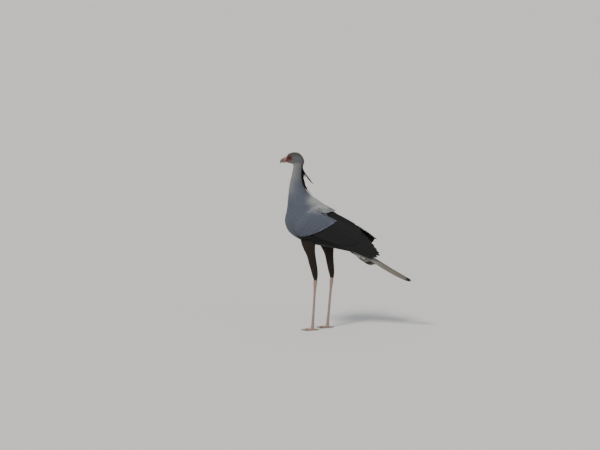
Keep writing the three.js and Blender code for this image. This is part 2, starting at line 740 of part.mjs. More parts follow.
function foot(leg) {
  const palm = tube(4, 10, (t, angle, reach) => {
    const radius = lerp(10, 12.5, Math.sin(t * Math.PI)) * (t === 0 ? 0.7 : 1);
    return new THREE.Vector3(
      leg.foot[0] + radius * Math.cos(angle) * reach,
      leg.foot[1] + radius * Math.sin(angle) * reach,
      lerp(3, PALM_HEIGHT, t),
    );
  });
  return joined([palm, ...toes.map((toe) => toeSolid(leg, toe))])
    .trimByPlane([0, 0, 1], 0)
    .trimByPlane([0, 0, -1], GAP - PALM_HEIGHT);
}

// The bird

const bird = new THREE.Group();
bird.add(
  named("head", joined([skull(), ...plumes.map(plume)]), facePlumage),
  named("bill_upper", upperBill(), billHorn),
  named("bill_lower", lowerBill(), billHorn),
  named("eye_left", eye(LEFT), eyeGloss),
  named("eye_right", eye(RIGHT), eyeGloss),
  named("neck_upper", neckUpper, greyPlumage),
  named("neck_lower", neckLower, greyPlumage),
  named("torso", torso, greyPlumage),
  named("tail", tail(), greyPlumage),
  named("wing_left", wing(LEFT), blackPlumage),
  named("wing_right", wing(RIGHT), blackPlumage),
);
for (const [name, leg] of Object.entries(legs)) {
  bird.add(
    named(`thigh_${name}`, thigh(leg), blackPlumage),
    named(`shank_${name}`, shank(leg), legScale),
    named(`foot_${name}`, foot(leg), legScale),
    ...toes.map((toe) => named(`claw_${name}_${toe.name}`, clawSolid(leg, toe), clawHorn)),
  );
}

// The origin goes to the middle of the bird's box at floor level
const box = new THREE.Box3().setFromObject(bird);
const centre = box.getCenter(new THREE.Vector3());
bird.position.set(-centre.x, -centre.y, -box.min.z);

export default bird;
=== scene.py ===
import math

import bmesh
import bpy
import numpy as np
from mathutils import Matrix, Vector
from mathutils.bvhtree import BVHTree
from mathutils.kdtree import KDTree


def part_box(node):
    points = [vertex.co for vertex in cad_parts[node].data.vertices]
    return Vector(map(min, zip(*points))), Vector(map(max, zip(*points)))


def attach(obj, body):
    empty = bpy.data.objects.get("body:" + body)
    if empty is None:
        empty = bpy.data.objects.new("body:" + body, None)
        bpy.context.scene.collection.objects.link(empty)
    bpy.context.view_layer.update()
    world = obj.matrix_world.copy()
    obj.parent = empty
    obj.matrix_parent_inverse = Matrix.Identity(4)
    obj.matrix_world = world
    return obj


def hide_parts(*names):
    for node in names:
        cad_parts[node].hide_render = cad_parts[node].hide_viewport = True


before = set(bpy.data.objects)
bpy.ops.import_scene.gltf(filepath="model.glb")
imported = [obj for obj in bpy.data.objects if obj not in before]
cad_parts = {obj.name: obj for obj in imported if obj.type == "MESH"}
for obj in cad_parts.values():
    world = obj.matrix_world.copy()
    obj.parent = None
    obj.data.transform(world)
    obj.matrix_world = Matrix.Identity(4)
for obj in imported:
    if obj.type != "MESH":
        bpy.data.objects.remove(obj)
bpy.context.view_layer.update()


# Skin
# One hide runs from the root of the bill over the body to the toes, with the lids, the brow and
# the corner of the mouth drawn in it. It lies below the plumage by the depth of the feathers and
# is bare only on the face and the legs. Measures are millimetres, faced as the solids are.

LEFT, RIGHT = 1, -1
COAT_DEPTH = 6.5
TRUNK_VOXEL, FEET_VOXEL = 0.0042, 0.0015
BARE_FACE = {"a": 15, "h": 11.5, "length": 22, "height": 21}
RED_SKIN = (0.06, 0.005, 0.005)
ORANGE_SKIN = (0.14, 0.019, 0.01)
PALE_SKIN = (0.22, 0.1, 0.072)
LEG_SKIN = (0.36, 0.25, 0.2)


def through(rows):
    """A smooth curve through rows of [x, value, ...], level past both ends."""
    table = np.array(rows, float)
    x, values = table[:, 0], table[:, 1:]
    last = len(x) - 1

    def at(where):
        where = np.clip(np.asarray(where, float), x[0], x[-1])
        i = np.clip(np.searchsorted(x, where, side="right"), 1, last)
        start, end = x[i - 1], x[i]
        first, final = i == 1, i == last
        before = np.where(first, 2 * start - end, x[i - 2])
        after = np.where(final, 2 * end - start, x[np.minimum(i + 1, last)])
        value_before = np.where(first[..., None], values[i], values[i - 2])
        value_after = np.where(final[..., None], values[i - 1], values[np.minimum(i + 1, last)])
        half = (end - start) / 2
        pull, push = half / (start - before), half / (after - end)
        s = (where - start) / (end - start)
        weights = (
            -pull * s**3 + 2 * pull * s**2 - pull * s,
            (1 + pull) * s**3 + (-1.5 - 2 * pull) * s**2 + (-0.5 + pull) * s + 1,
            (-1 - push) * s**3 + (1.5 + push) * s**2 + 0.5 * s,
            push * s**3 - push * s**2,
        )
        parts = (value_before, values[i - 1], values[i], value_after)
        total = sum(w[..., None] * v for w, v in zip(weights, parts))
        return [total[..., k] for k in range(total.shape[-1])]

    return at


def ramp(x, low, high):
    """0 below low, 1 above high, smooth between."""
    s = np.clip((np.asarray(x, float) - low) / (high - low), 0, 1)
    return s * s * (3 - 2 * s)


def blended(one, other, share):
    share = np.asarray(share, float)[..., None]
    return np.asarray(one, float) * (1 - share) + np.asarray(other, float) * share


# Head, in its own frame: a runs back from the root of the bill, h runs up
BILL_ROOT = (-251, 1127)
HEAD_PITCH = math.radians(8)
EYE_PLACE = {"x": 15.6, "a": 19, "h": 13, "radius": 10.5}
LID_OPENING = (7.9, 6.5)
LID_RADIUS = 11.7


def head_place(x, a, h):
    x, a, h = np.broadcast_arrays(np.asarray(x, float), a, h)
    back, up = math.cos(HEAD_PITCH), math.sin(HEAD_PITCH)
    return np.stack([x, BILL_ROOT[0] + a * back - h * up, BILL_ROOT[1] + a * up + h * back], -1)


def head_frame(points):
    """How far back and how far up in the head's own frame."""
    y, z = points[..., 1] - BILL_ROOT[0], points[..., 2] - BILL_ROOT[1]
    back, up = math.cos(HEAD_PITCH), math.sin(HEAD_PITCH)
    return y * back + z * up, z * back - y * up


eye_low, eye_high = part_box("eye_left")
SHIFT = 500 * (np.array(eye_low) + np.array(eye_high)) - head_place(
    EYE_PLACE["x"], EYE_PLACE["a"], EYE_PLACE["h"]
)


def placed(points):
    """Metres in the frame of the solids."""
    return (points + SHIFT) / 1000


# Rows of [a, top, bottom, half width]
skull_at = through(
    [
        [0, 22, -17, 12.5],
        [7, 31.5, -21, 17.5],
        [18, 38.5, -26, 23],
        [33, 42.5, -31, 26.5],
        [50, 43.5, -36, 28],
        [68, 40.5, -40, 28.5],
        [84, 33, -43, 27.5],
        [97, 20, -42, 23.5],
        [105, 6, -37, 17],
        [110, -6, -28, 9],
    ]
)
SKULL_BACK = 110
HEAD_LENGTH = 112  # with the plumage behind the skull


def skull(a, angle, lift=0.0):
    top, bottom, half_width = skull_at(a)
    half = (top - bottom) / 2 + lift
    return head_place(
        (half_width + lift) * np.sin(angle), a, (top + bottom) / 2 + half * np.cos(angle)
    )


def bare(a, h):
    """1 on the bare skin of the face, 0 under feathers."""
    a, h = np.asarray(a, float), np.asarray(h, float)
    back, up = (a - BARE_FACE["a"]) / BARE_FACE["length"], (h - BARE_FACE["h"]) / BARE_FACE["height"]
    round_it = np.arctan2(up, back)
    reach = np.hypot(back, up) + 0.04 * np.sin(5 * round_it + 1) + 0.025 * np.sin(11 * round_it)
    lores = (a < 12) & (np.abs(h - 5) < 17)
    return np.where(lores, 1.0, 1 - ramp(reach, 0.94, 1.04))


# Neck and trunk: [station, back y, back z, front y, front z, half width]
body_at = through(
    [
        [0, -156, 1128, -208, 1098, 24],
        [1, -151, 1084, -214, 1060, 29],
        [2, -150, 1027, -223, 1016, 33],
        [3, -146, 981, -234, 971, 40],
        [4, -129, 938, -241, 920, 51],
        [5, -96, 898, -246, 859, 65],
        [6, -50, 866, -253, 793, 79],
        [7, 0, 831, -266, 720, 89],
        [8, 52, 794, -240, 653, 91],
        [9, 98, 755, -170, 602, 86],
        [10, 132, 714, -84, 571, 75],
        [11, 158, 675, 6, 553, 60],
        [12, 171, 640, 80, 543, 46],
        [13, 172, 608, 132, 537, 36],
    ]
)
BREAST_FULLNESS = 0.1


def body(station, angle, lift=0.0):
    """A point of the trunk: station 0 is the nape and 13 the tail, angle 0 the back, pi the breast."""
    back_y, back_z, front_y, front_z, half_width = body_at(station)
    half_y, half_z = (back_y - front_y) / 2, (back_z - front_z) / 2
    half = np.hypot(half_y, half_z)
    across = (half + lift) / half * np.cos(angle)
    x = (half_width + lift) * np.sin(angle) * (1 - BREAST_FULLNESS * np.cos(angle))
    y = (back_y + front_y) / 2 + half_y * across
    z = (back_z + front_z) / 2 + half_z * across
    return np.stack([x, y, z], -1)


# Legs: the feathered thigh is in rows of [height, centre y, half depth, centre x, half width]
LEGS = {
    "left": {
        "side": LEFT,
        "thigh": through(
            [
                [340, -63, 12, 51, 10],
                [352, -64, 15, 51, 12.5],
                [390, -69, 21, 51, 17],
                [440, -79, 25, 51, 21],
                [500, -92, 29, 51, 26],
                [545, -104, 38, 47, 26],
                [590, -110, 48, 41, 22],
                [625, -110, 48, 38, 18],
                [665, -108, 30, 34, 12],
            ]
        ),
        "ankle": (51, -63),
        "foot": (49, -82),
        "turn": 4,
    },
    "right": {
        "side": RIGHT,
        "thigh": through(
            [
                [340, 46, 12, -51, 10],
                [352, 46, 14.5, -51, 12.5],
                [390, 42, 20, -51, 17],
                [440, 35, 24, -51, 21],
                [500, 27, 30, -51, 26],
                [545, 17, 42, -47, 26],
                [590, 8, 50, -41, 22],
                [625, 0, 50, -38, 18],
                [660, -4, 30, -34, 12],
            ]
        ),
        "ankle": (-51, 46),
        "foot": (-49, 18),
        "turn": -3,
    },
}
HIP_HEIGHT = 655
THIGH_LENGTH = 300
ANKLE_HEIGHT = 339.7
PALM_HEIGHT = 17
SHANK_LENGTH = ANKLE_HEIGHT - PALM_HEIGHT
# Rows of [share of the way up from the foot, half depth, half width]
SHANK_FORM = through(
    [
        [0, 11, 10.5],
        [0.12, 9, 8],
        [0.45, 7.6, 6.4],
        [0.8, 8.6, 7],
        [0.93, 12.5, 9.5],
        [1, 11.5, 9.5],
    ]
)
TOES = {
    "middle": {"bearing": 2, "length": 62, "root": 8.2, "tip": 6.2, "claw": 19},
    "inner": {"bearing": -33, "length": 46, "root": 8, "tip": 6, "claw": 20},
    "outer": {"bearing": 34, "length": 48, "root": 7.6, "tip": 5.8, "claw": 17},
    "hind": {"bearing": 172, "length": 27, "root": 7.6, "tip": 6, "claw": 19},
}
SINK = 1.6  # how far the round underside of a toe is pressed flat on the ground


def thigh(leg, down, angle, lift=0.0):
    """A point of the thigh, down from the hip. On the left leg angle 0 looks out, 90 degrees ahead."""
    z = HIP_HEIGHT - np.asarray(down, float)
    y, half_depth, x, half_width = leg["thigh"](z)
    return np.stack(
        [x + (half_width + lift) * np.cos(angle), y - (half_depth + lift) * np.sin(angle), z], -1
    )


def shank(leg, down, angle, lift=0.0):
    share = 1 - np.asarray(down, float) / SHANK_LENGTH
    half_depth, half_width = SHANK_FORM(share)
    x = leg["foot"][0] + (leg["ankle"][0] - leg["foot"][0]) * share
    y = leg["foot"][1] + (leg["ankle"][1] - leg["foot"][1]) * share
    z = PALM_HEIGHT + SHANK_LENGTH * share
    return np.stack(
        [x + (half_width + lift) * np.cos(angle), y - (half_depth + lift) * np.sin(angle), z], -1
    )


def palm(leg, t, angle, reach):
    """The round pad between the shank and the toes, from the ground up."""
    radius = (10 + 2.5 * np.sin(t * math.pi)) * (0.7 + 0.3 * ramp(t, 0, 0.3)) * reach
    x, y = leg["foot"]
    z = 3 + (PALM_HEIGHT - 1) * t
    return np.stack([x + radius * np.cos(angle), y + radius * np.sin(angle), z], -1)


def toe_axes(leg, toe):
    bearing = math.radians(toe["bearing"] * leg["side"] + leg["turn"])
    ahead = np.array([math.sin(bearing), -math.cos(bearing), 0])
    across = np.array([math.cos(bearing), math.sin(bearing), 0])
    return ahead, across, np.array([*leg["foot"], 0.0])


def toe_point(leg, toe, along, angle, lift=0.0):
    """A point of a toe. Angle 90 degrees is its top."""
    ahead, across, root = toe_axes(leg, toe)
    t = np.asarray(along, float) / toe["length"]
    pad = np.where(np.sin(angle) < 0, 0.7 * np.cos(t * 6 * math.pi), 0)
    radius = (toe["root"] + (toe["tip"] - toe["root"]) * t + pad) * (1 - 0.3 * ramp(t, 0.86, 1.02))
    height = toe["root"] + (toe["tip"] - toe["root"]) * t - SINK + 5 * np.maximum(0, 0.35 - t)
    up = height + (radius + lift) * np.sin(angle)
    flat = root + (np.asarray(along, float))[..., None] * ahead
    flat = flat + ((radius + lift) * np.cos(angle))[..., None] * across
    flat[..., 2] = np.maximum(up, 0.15)
    return flat


# Folded wings: sections along an axis that slopes down to the wing tips, in rows of [distance along
# it, half width, height above it, depth below it]
FLANK_ORIGIN = (-60, 755)
FLANK_SLOPE = math.radians(31)
flank_at = through(
    [
        [-170, 94, 94, 205],
        [-90, 107, 100, 216],
        [-20, 110, 103, 212],
        [60, 107, 104, 198],
        [130, 98, 102, 184],
        [211, 82, 98, 165],
        [300, 64, 92, 145],
        [400, 52, 82, 125],
        [500, 45, 72, 110],
    ]
)


def flank(side, along, angle, lift=0.0):
    """A point of the wings' envelope, at an angle from the top of the back."""
    half_width, height, depth = flank_at(along)
    reach = np.where(np.cos(angle) > 0, height, depth)
    out, up = np.sin(angle) / half_width, np.cos(angle) / reach
    size = np.hypot(out, up)
    x = half_width * np.sin(angle) + lift * out / size
    above = reach * np.cos(angle) + lift * up / size
    run, rise = math.cos(FLANK_SLOPE), math.sin(FLANK_SLOPE)
    y = FLANK_ORIGIN[0] + along * run + above * rise
    z = FLANK_ORIGIN[1] - along * rise + above * run
    return np.stack([side * x, y, z], -1)


def flank_line(places):
    """A line over the fan of a wing, from its top feather, 0, to its lowest, 1, through places seen
    from the side."""
    rows = []
    for k, (y, z) in enumerate(places):
        run, rise = math.cos(FLANK_SLOPE), math.sin(FLANK_SLOPE)
        dy, dz = y - FLANK_ORIGIN[0], z - FLANK_ORIGIN[1]
        along, above = dy * run - dz * rise, dy * rise + dz * run
        _, height, depth = flank_at(along)
        level = above / (height if above > 0 else depth)
        rows.append([k / (len(places) - 1), along, math.acos(min(0.992, max(-0.985, level)))])
    line = through(rows)

    def at(f):
        end = np.clip(f, 0.01, 0.99)
        near = line(end)
        far = line(np.where(f < end, 0.0, 1.0))
        past = np.abs(f - end) / 0.01
        return [n + (o - n) * past for n, o in zip(near, far)]

    return at


def fan(side, roots, tips, lift=None):
    """The part of the envelope between two lines: p runs from the roots to the tips, q down the fan."""
    root_line, tip_line = flank_line(roots), flank_line(tips)

    def at(p, q):
        (a0, t0), (a1, t1) = root_line(q), tip_line(q)
        return flank(side, a0 + (a1 - a0) * p, t0 + (t1 - t0) * p, 0 if lift is None else lift(p))

    return at


# The flesh of the arm and the shoulder, between lines of places seen from the side
ARM_ROOTS = [(-24, 842), (-92, 786), (-150, 716), (-166, 676)]
ARM_TIPS = [(150, 722), (196, 668), (186, 622), (150, 592), (80, 576), (10, 598), (-60, 622)]
SHOULDER_ROOTS = [(-56, 862), (-132, 806), (-196, 734), (-206, 688)]
SHOULDER_TIPS = [(-8, 834), (-36, 784), (-84, 744), (-132, 708), (-190, 672)]


def shoulder_lift(p):
    return -22 + 24 * ramp(p, -0.1, 0.6)


# Tail: a roof that slopes down from the root, in rows of [distance, half width, depth, ridge]
TAIL_DROP = math.radians(29)
TAIL_ROOT = (152, 572.5)
TAIL_CORE = 110
tail_at = through(
    [
        [0, 20, 26, 14],
        [50, 27, 38, 10],
        [110, 33, 48, 5],
        [200, 34, 50, 0],
        [330, 34, 48, -7],
        [490, 34, 44, -10],
    ]
)


def tail_roof(along, angle, lift=0.0):
    half_width, depth, ridge = tail_at(along)
    out, up = np.sin(angle) / half_width, np.cos(angle) / depth
    size = np.hypot(out, up)
    above = ridge - depth * (1 - np.cos(angle)) + lift * up / size
    run, fall = math.cos(TAIL_DROP), math.sin(TAIL_DROP)
    return np.stack(
        [
            half_width * np.sin(angle) + lift * out / size,
            TAIL_ROOT[0] + along * run + above * fall,
            TAIL_ROOT[1] - along * fall + above * run,
        ],
        -1,
    )


def loft(bm, rings, around, at):
    """A closed tube: at(t, angle, reach) places the points of a grid, and each end closes on a point."""
    made = bmesh.ops.create_grid(bm, x_segments=around, y_segments=rings + 1, size=1)["verts"]
    grid = np.array([v.co[:2] for v in made])
    column = np.round((grid[:, 0] + 1) / 2 * around)
    row = np.round((grid[:, 1] + 1) / 2 * (rings + 1))
    pole = (row == 0) | (row == rings + 1)
    t = np.clip((row - 1) / (rings - 1), 0, 1)
    angle = np.where(pole, 0, column * 2 * math.pi / around)
    for vert, place in zip(made, placed(at(t, angle, np.where(pole, 0.0, 1.0)))):
        vert.co = place
    bmesh.ops.remove_doubles(bm, verts=made, dist=1e-6)


def centred(surface):
    """Closes the end rings of a tube on its middle line."""

    def at(t, angle, reach):
        middle = (surface(t, 0 * t) + surface(t, 0 * t + math.pi)) / 2
        return middle + (surface(t, angle) - middle) * reach[:, None]

    return at


def mesh_of(name, bm):
    """The mesh of all that bm holds, with its faces turned outwards."""
    bmesh.ops.recalc_face_normals(bm, faces=bm.faces)
    mesh = bpy.data.meshes.new(name)
    bm.to_mesh(mesh)
    bm.free()
    return mesh


def piece_of(name, mesh, finish=None):
    """An object of the scene, smooth and in its finish if it has one."""
    if finish:
        mesh.shade_smooth()
        mesh.materials.append(finish.material)
    piece = bpy.data.objects.new(name, mesh)
    bpy.context.scene.collection.objects.link(piece)
    return piece


def one_form(name, bm, voxel, relaxed=0):
    """One closed form round the tubes in bm, in voxels of so many metres, relaxed so many times."""
    form = piece_of(name, mesh_of(name, bm))
    remesh = form.modifiers.new("one_form", "REMESH")
    remesh.mode = "VOXEL"
    remesh.voxel_size = voxel
    if relaxed:
        relax = form.modifiers.new("relax", "SMOOTH")
        relax.iterations = relaxed
        relax.factor = 0.5
    made = bpy.data.meshes.new_from_object(form.evaluated_get(bpy.context.evaluated_depsgraph_get()))
    bpy.data.objects.remove(form)
    return made


def read(items, what, width, kind=float):
    """Rows of what each vertex, edge or triangle of a mesh holds."""
    values = np.empty(len(items) * width, kind)
    items.foreach_get(what, values)
    return values.reshape(-1, width)


def stained(mesh, title, colour):
    """Gives each vertex its colour, under the name that its material looks for."""
    stain = mesh.attributes.new(title, "FLOAT_COLOR", "POINT")
    stain.data.foreach_set("color", np.c_[colour, np.ones(len(colour))].astype(np.float32).ravel())


def skull_skin(t, angle, reach):
    a = -0.6 + (SKULL_BACK - 2) * (0.62 * t**1.5 + 0.38 * t)
    top, bottom, half_width = skull_at(a)
    middle, half = (top + bottom) / 2, (top - bottom) / 2
    h = middle + half * np.cos(angle)
    uncovered = bare(a, h)
    depth = -2.4 * (1 - uncovered) - 0.9 * (1 - ramp(a, -0.6, 3))
    x = (half_width + depth) * np.sin(angle) * reach
    h = middle + (half + depth) * np.cos(angle) * reach
    side, x = np.where(x < 0, -1.0, 1.0), np.abs(x)
    # The brow stands out over the eye, and the mouth's corner runs back below it
    out, up = x / half_width**2, (h - middle) / half**2
    size = np.hypot(out, up) + 1e-9
    brow = 3.2 * np.exp(-(((a - 17) / 13) ** 2) - ((h - 23.5) / 3.4) ** 2)
    off_mouth = h + 7.4 + 0.1 * a
    gape = np.exp(-(off_mouth**2)) * (1 - ramp(a, 12, 21))
    lips = 0.9 * np.exp(-((off_mouth / 3.2) ** 2)) * (1 - ramp(a, 14, 24))
    push = (brow + lips - 2.2 * gape) * reach * (x > 4)
    x, h = x + push * out / size, h + push * up / size
    # Lids: the skin is drawn up over the ball of the eye round the opening
    dx, da, dh = x - EYE_PLACE["x"], a - EYE_PLACE["a"], h - EYE_PLACE["h"]
    distance = np.sqrt(dx**2 + da**2 + dh**2) + 1e-9
    opening = np.hypot(da / LID_OPENING[0], dh / LID_OPENING[1])
    over = LID_RADIUS - 2.6 * ramp(opening, 1.15, 1.9)
    wanted = np.where(opening < 1, np.minimum(distance, 9.0), np.maximum(distance, over))
    wanted = np.where((dx > -2) & (opening < 2) & (distance < 20), wanted, distance)
    x, a, h = (
        EYE_PLACE["x"] + dx / distance * wanted,
        EYE_PLACE["a"] + da / distance * wanted,
        EYE_PLACE["h"] + dh / distance * wanted,
    )
    return head_place(np.where(reach > 0, side * x, 0), a, h)


trunk = bmesh.new()
loft(trunk, 44, 64, centred(lambda t, angle: body(0.3 + 12.9 * t, angle, -COAT_DEPTH)))
for leg in LEGS.values():
    loft(
        trunk,
        24,
        32,
        centred(lambda t, angle: thigh(leg, THIGH_LENGTH * t, angle, -4 + 2.6 * ramp(t, 0.8, 1))),
    )
for side in (LEFT, RIGHT):
    for roots, tips, lift, depth in (
        (ARM_ROOTS, ARM_TIPS, lambda p: -10.5 + 0 * p, 3.5),
        (SHOULDER_ROOTS, SHOULDER_TIPS, lambda p: shoulder_lift(p) - 12, 6.5),
    ):

        def pad(t, angle, reach):
            face = depth * np.sin(angle) * reach
            at = fan(side, roots, tips, lambda p: lift(p) + face)
            return at(0.04 + 0.9 * t, 0.5 - 0.47 * np.cos(angle) * reach)

        loft(trunk, 10, 28, pad)


def tail_core(t, angle, reach):
    middle = tail_roof(TAIL_CORE * t, 0 * t, -9 + 0 * t)
    edge = tail_roof(TAIL_CORE * t, angle, -4 + 0 * t)
    return middle + (edge - middle) * (reach * (1 - 0.6 * t))[:, None]


loft(trunk, 10, 24, tail_core)
hide = bmesh.new()
hide.from_mesh(one_form("trunk", trunk, TRUNK_VOXEL, 5))
loft(hide, 130, 160, skull_skin)
for leg in LEGS.values():
    feet = bmesh.new()
    loft(feet, 60, 32, centred(lambda t, angle: shank(leg, (SHANK_LENGTH + 7) * t - 4, angle)))
    loft(feet, 10, 28, lambda t, angle, reach: palm(leg, t, angle, reach))
    for toe in TOES.values():
        loft(feet, 30, 24, centred(lambda t, angle: toe_point(leg, toe, toe["length"] * t, angle)))
    hide.from_mesh(one_form("feet", feet, FEET_VOXEL, 2))


class Wire:
    """A number on its way through a material's nodes, so that shader maths reads as plain sums."""

    def __init__(self, finish, socket):
        self.finish, self.socket = finish, socket

    def sum(self, operation, *values):
        return self.finish.make("Math", {"operation": operation}, dict(enumerate(values)))

    def __add__(self, other):
        return self.sum("ADD", self, other)

    def __radd__(self, other):
        return self.sum("ADD", other, self)

    def __sub__(self, other):
        return self.sum("SUBTRACT", self, other)

    def __rsub__(self, other):
        return self.sum("SUBTRACT", other, self)

    def __mul__(self, other):
        return self.sum("MULTIPLY", self, other)

    def __rmul__(self, other):
        return self.sum("MULTIPLY", other, self)

    def __truediv__(self, other):
        return self.sum("DIVIDE", self, other)

    def __rtruediv__(self, other):
        return self.sum("DIVIDE", other, self)


class Finish:
    """A material. make adds a node: its type, its settings, the values or links of its sockets."""

    def __init__(self, name, **constants):
        self.material = bpy.data.materials.new(name)
        self.material.use_nodes = True
        self.tree = self.material.node_tree
        self.surface = next(n for n in self.tree.nodes if n.type == "BSDF_PRINCIPLED")
        for socket, value in constants.items():
            self.surface.inputs[socket.replace("_", " ")].default_value = value

    def make(self, kind, settings=None, inputs=None, output=0):
        node = self.tree.nodes.new("ShaderNode" + kind)
        for key, value in (settings or {}).items():
            if key == "stops":
                while len(node.color_ramp.elements) < len(value):
                    node.color_ramp.elements.new(1.0)
                for element, (place, colour) in zip(node.color_ramp.elements, value):
                    element.position, element.color = place, (*colour, 1)
            else:
                setattr(node, key, value)
        for key, value in (inputs or {}).items():
            self.plug(node.inputs[key], value)
        return Wire(self, node.outputs[output])

    def plug(self, socket, value):
        if isinstance(value, Wire):
            self.tree.links.new(value.socket, socket)
        elif socket.type == "RGBA" and len(value) == 3:
            socket.default_value = (*value, 1)
        else:
            socket.default_value = value

    def mix(self, one, other, share, how="MIX"):
        settings = {"data_type": "RGBA", "blend_type": how}
        return self.make("Mix", settings, {0: share, 6: one, 7: other}, output=2)

    def weathered(self, tint, darkening, share):
        """A tint that a darker colour, such as grime, darkens by its share."""
        return self.mix(tint, self.mix(tint, darkening, 1.0, "MULTIPLY"), share)

    def wear(self, **inputs):
        for socket, value in inputs.items():
            self.plug(self.surface.inputs[socket.replace("_", " ")], value)

    def bump(self, height, strength, distance):
        inputs = {"Height": height, "Strength": strength, "Distance": distance}
        self.wear(Normal=self.make("Bump", None, inputs))


skin_finish = Finish("skin", Roughness=0.5)
tint = skin_finish.make("Attribute", {"attribute_name": "Hide"})
place = skin_finish.make("TexCoord", output=3)
mottle = skin_finish.make("TexNoise", None, {"Vector": place, "Scale": 260.0, "Detail": 5.0})
pebble = skin_finish.make("TexVoronoi", None, {"Vector": place, "Scale": 900.0})
wrinkle = skin_finish.make("TexNoise", None, {"Vector": place, "Scale": 700.0, "Detail": 3.0})
skin_finish.wear(
    Base_Color=skin_finish.weathered(tint, (0.35, 0.3, 0.28), mottle * 1.3 - 0.35),
    Roughness=0.42 + 0.25 * mottle,
)
skin_finish.bump(pebble * 0.7 + wrinkle * 0.5, 0.45, 0.0006)

# Markings: the same colours go to the skin and to the feathers over it
GREY = (0.096, 0.109, 0.14)
PALE = (0.3, 0.3, 0.28)
WHITE = (0.4, 0.39, 0.36)
BLACK = (0.0085, 0.0083, 0.0085)


def body_tone(station, angle):
    """Colour of the plumage on the neck and the trunk."""
    front = 0.5 - 0.5 * np.cos(angle)
    back = 1 - front
    tone = blended(GREY, PALE, 0.8 * front**3 * (1 - ramp(station, 2.8, 5)))
    tone = blended(tone, (0.17, 0.176, 0.178), 0.75 * (1 - ramp(station, 1.5, 3.2)))
    tone = blended(tone, PALE, 0.7 * front**3 * (1 - ramp(station, 1.2, 3)))
    nape = 0.85 * ramp(back, 0.8, 0.97) * (1 - ramp(station, 1.6, 3.4))
    tone = blended(tone, (0.075, 0.075, 0.072), nape)
    mantle = 0.8 * ramp(back, 0.62, 0.9) * ramp(station, 4.6, 5.6) * (1 - ramp(station, 7.6, 8.4))
    tone = blended(tone, PALE, mantle)
    tone = blended(tone, BLACK, ramp(front, 0.42, 0.6) * ramp(station, 8.75, 9.15))
    tone = blended(tone, BLACK, ramp(station, 8.5, 9.2) * ramp(back, 0.5, 0.7))
    return blended(tone, BLACK, ramp(station, 9.4, 9.8))


def head_tone(a, h):
    tone = blended((0.2, 0.195, 0.18), (0.12, 0.122, 0.13), ramp(h + 0.25 * a, -20, 12))
    tone = blended(tone, (0.066, 0.06, 0.05), 0.85 * ramp(h + 0.12 * a, 12, 38))
    tone = blended(tone, (0.065, 0.063, 0.057), 0.8 * ramp(a + 0.6 * h, 78, 108))
    return blended(tone, (0.2, 0.185, 0.165), 0.5 * (1 - ramp(a, 4, 20)))


def face_tone(a, h):
    tone = blended(ORANGE_SKIN, RED_SKIN, ramp(np.hypot((a - 17) / 17, (h - 13) / 13), 1.25, 0.5))
    return blended(tone, PALE_SKIN, 0.75 * ramp(-h + 0.2 * a, 3, 12))


skin_mesh = mesh_of("skin", hide)
skin_points = read(skin_mesh.vertices, "co", 3) * 1000 - SHIFT
head_a, head_h = head_frame(skin_points)
out, y, z = skin_points.T
belly = ramp(y + 0.3 * (z - 600), -190, -165) * (1 - ramp(z, 700, 760))
hide_colour = blended(GREY, BLACK, np.maximum(belly, ramp(y, 30, 70)))
on_head = (head_a < HEAD_LENGTH) & (head_h > -46) & (z > 1075)
hide_colour = np.where(on_head[:, None], head_tone(head_a, head_h), hide_colour)
face = bare(head_a, head_h) * on_head * (head_a < 45)
hide_colour = blended(hide_colour, face_tone(head_a, head_h), face)
hide_colour = blended(hide_colour, BLACK, (z < 600) * (np.abs(out) > 18))
hide_colour = blended(hide_colour, LEG_SKIN, 1 - ramp(z, 338, 346))
stained(skin_mesh, "Hide", hide_colour)
skin = piece_of("skin", skin_mesh, skin_finish)
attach(skin, "root")
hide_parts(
    "head",
    "neck_upper",
    "neck_lower",
    "torso",
    *(f"{part}_{name}" for part in ("thigh", "shank", "foot") for name in LEGS),
)


# Feathers of the head, the neck and the body
# Small soft vanes grow from the skin at uneven distances and lie back over one another like tiles,
# from rice-grain size round the face to thumb size on the back. Each is thin, with a faint shaft and
# barbs, and its tip rests on the feathers behind it.

chance = np.random.default_rng(7)
CONTOUR_OUTLINE = through([[0, 0.3], [0.25, 0.78], [0.55, 1], [0.8, 0.88], [0.93, 0.56], [1, 0.14]])
CONTOUR_RISE = through([[0, -5.5], [0.25, -2.1], [0.7, 0.1], [0.88, 0.3], [1, -0.2]])


def unit(vectors):
    return vectors / (np.linalg.norm(vectors, axis=-1, keepdims=True) + 1e-12)


def outward(at, p, q, side=1):
    """Points of the surface at(p, q), and the directions out of it."""
    step = 1e-3
    here = at(p, q)
    return here, unit(np.cross(at(p, q + step) - here, at(p + step, q) - here) * side)


def pace(at, p, q):
    """Millimetres for one unit of p and of q."""
    step = 1e-3
    here = at(p, q)
    return (
        np.linalg.norm(at(p + step, q) - here, axis=-1) / step,
        np.linalg.norm(at(p, q + step) - here, axis=-1) / step,
    )


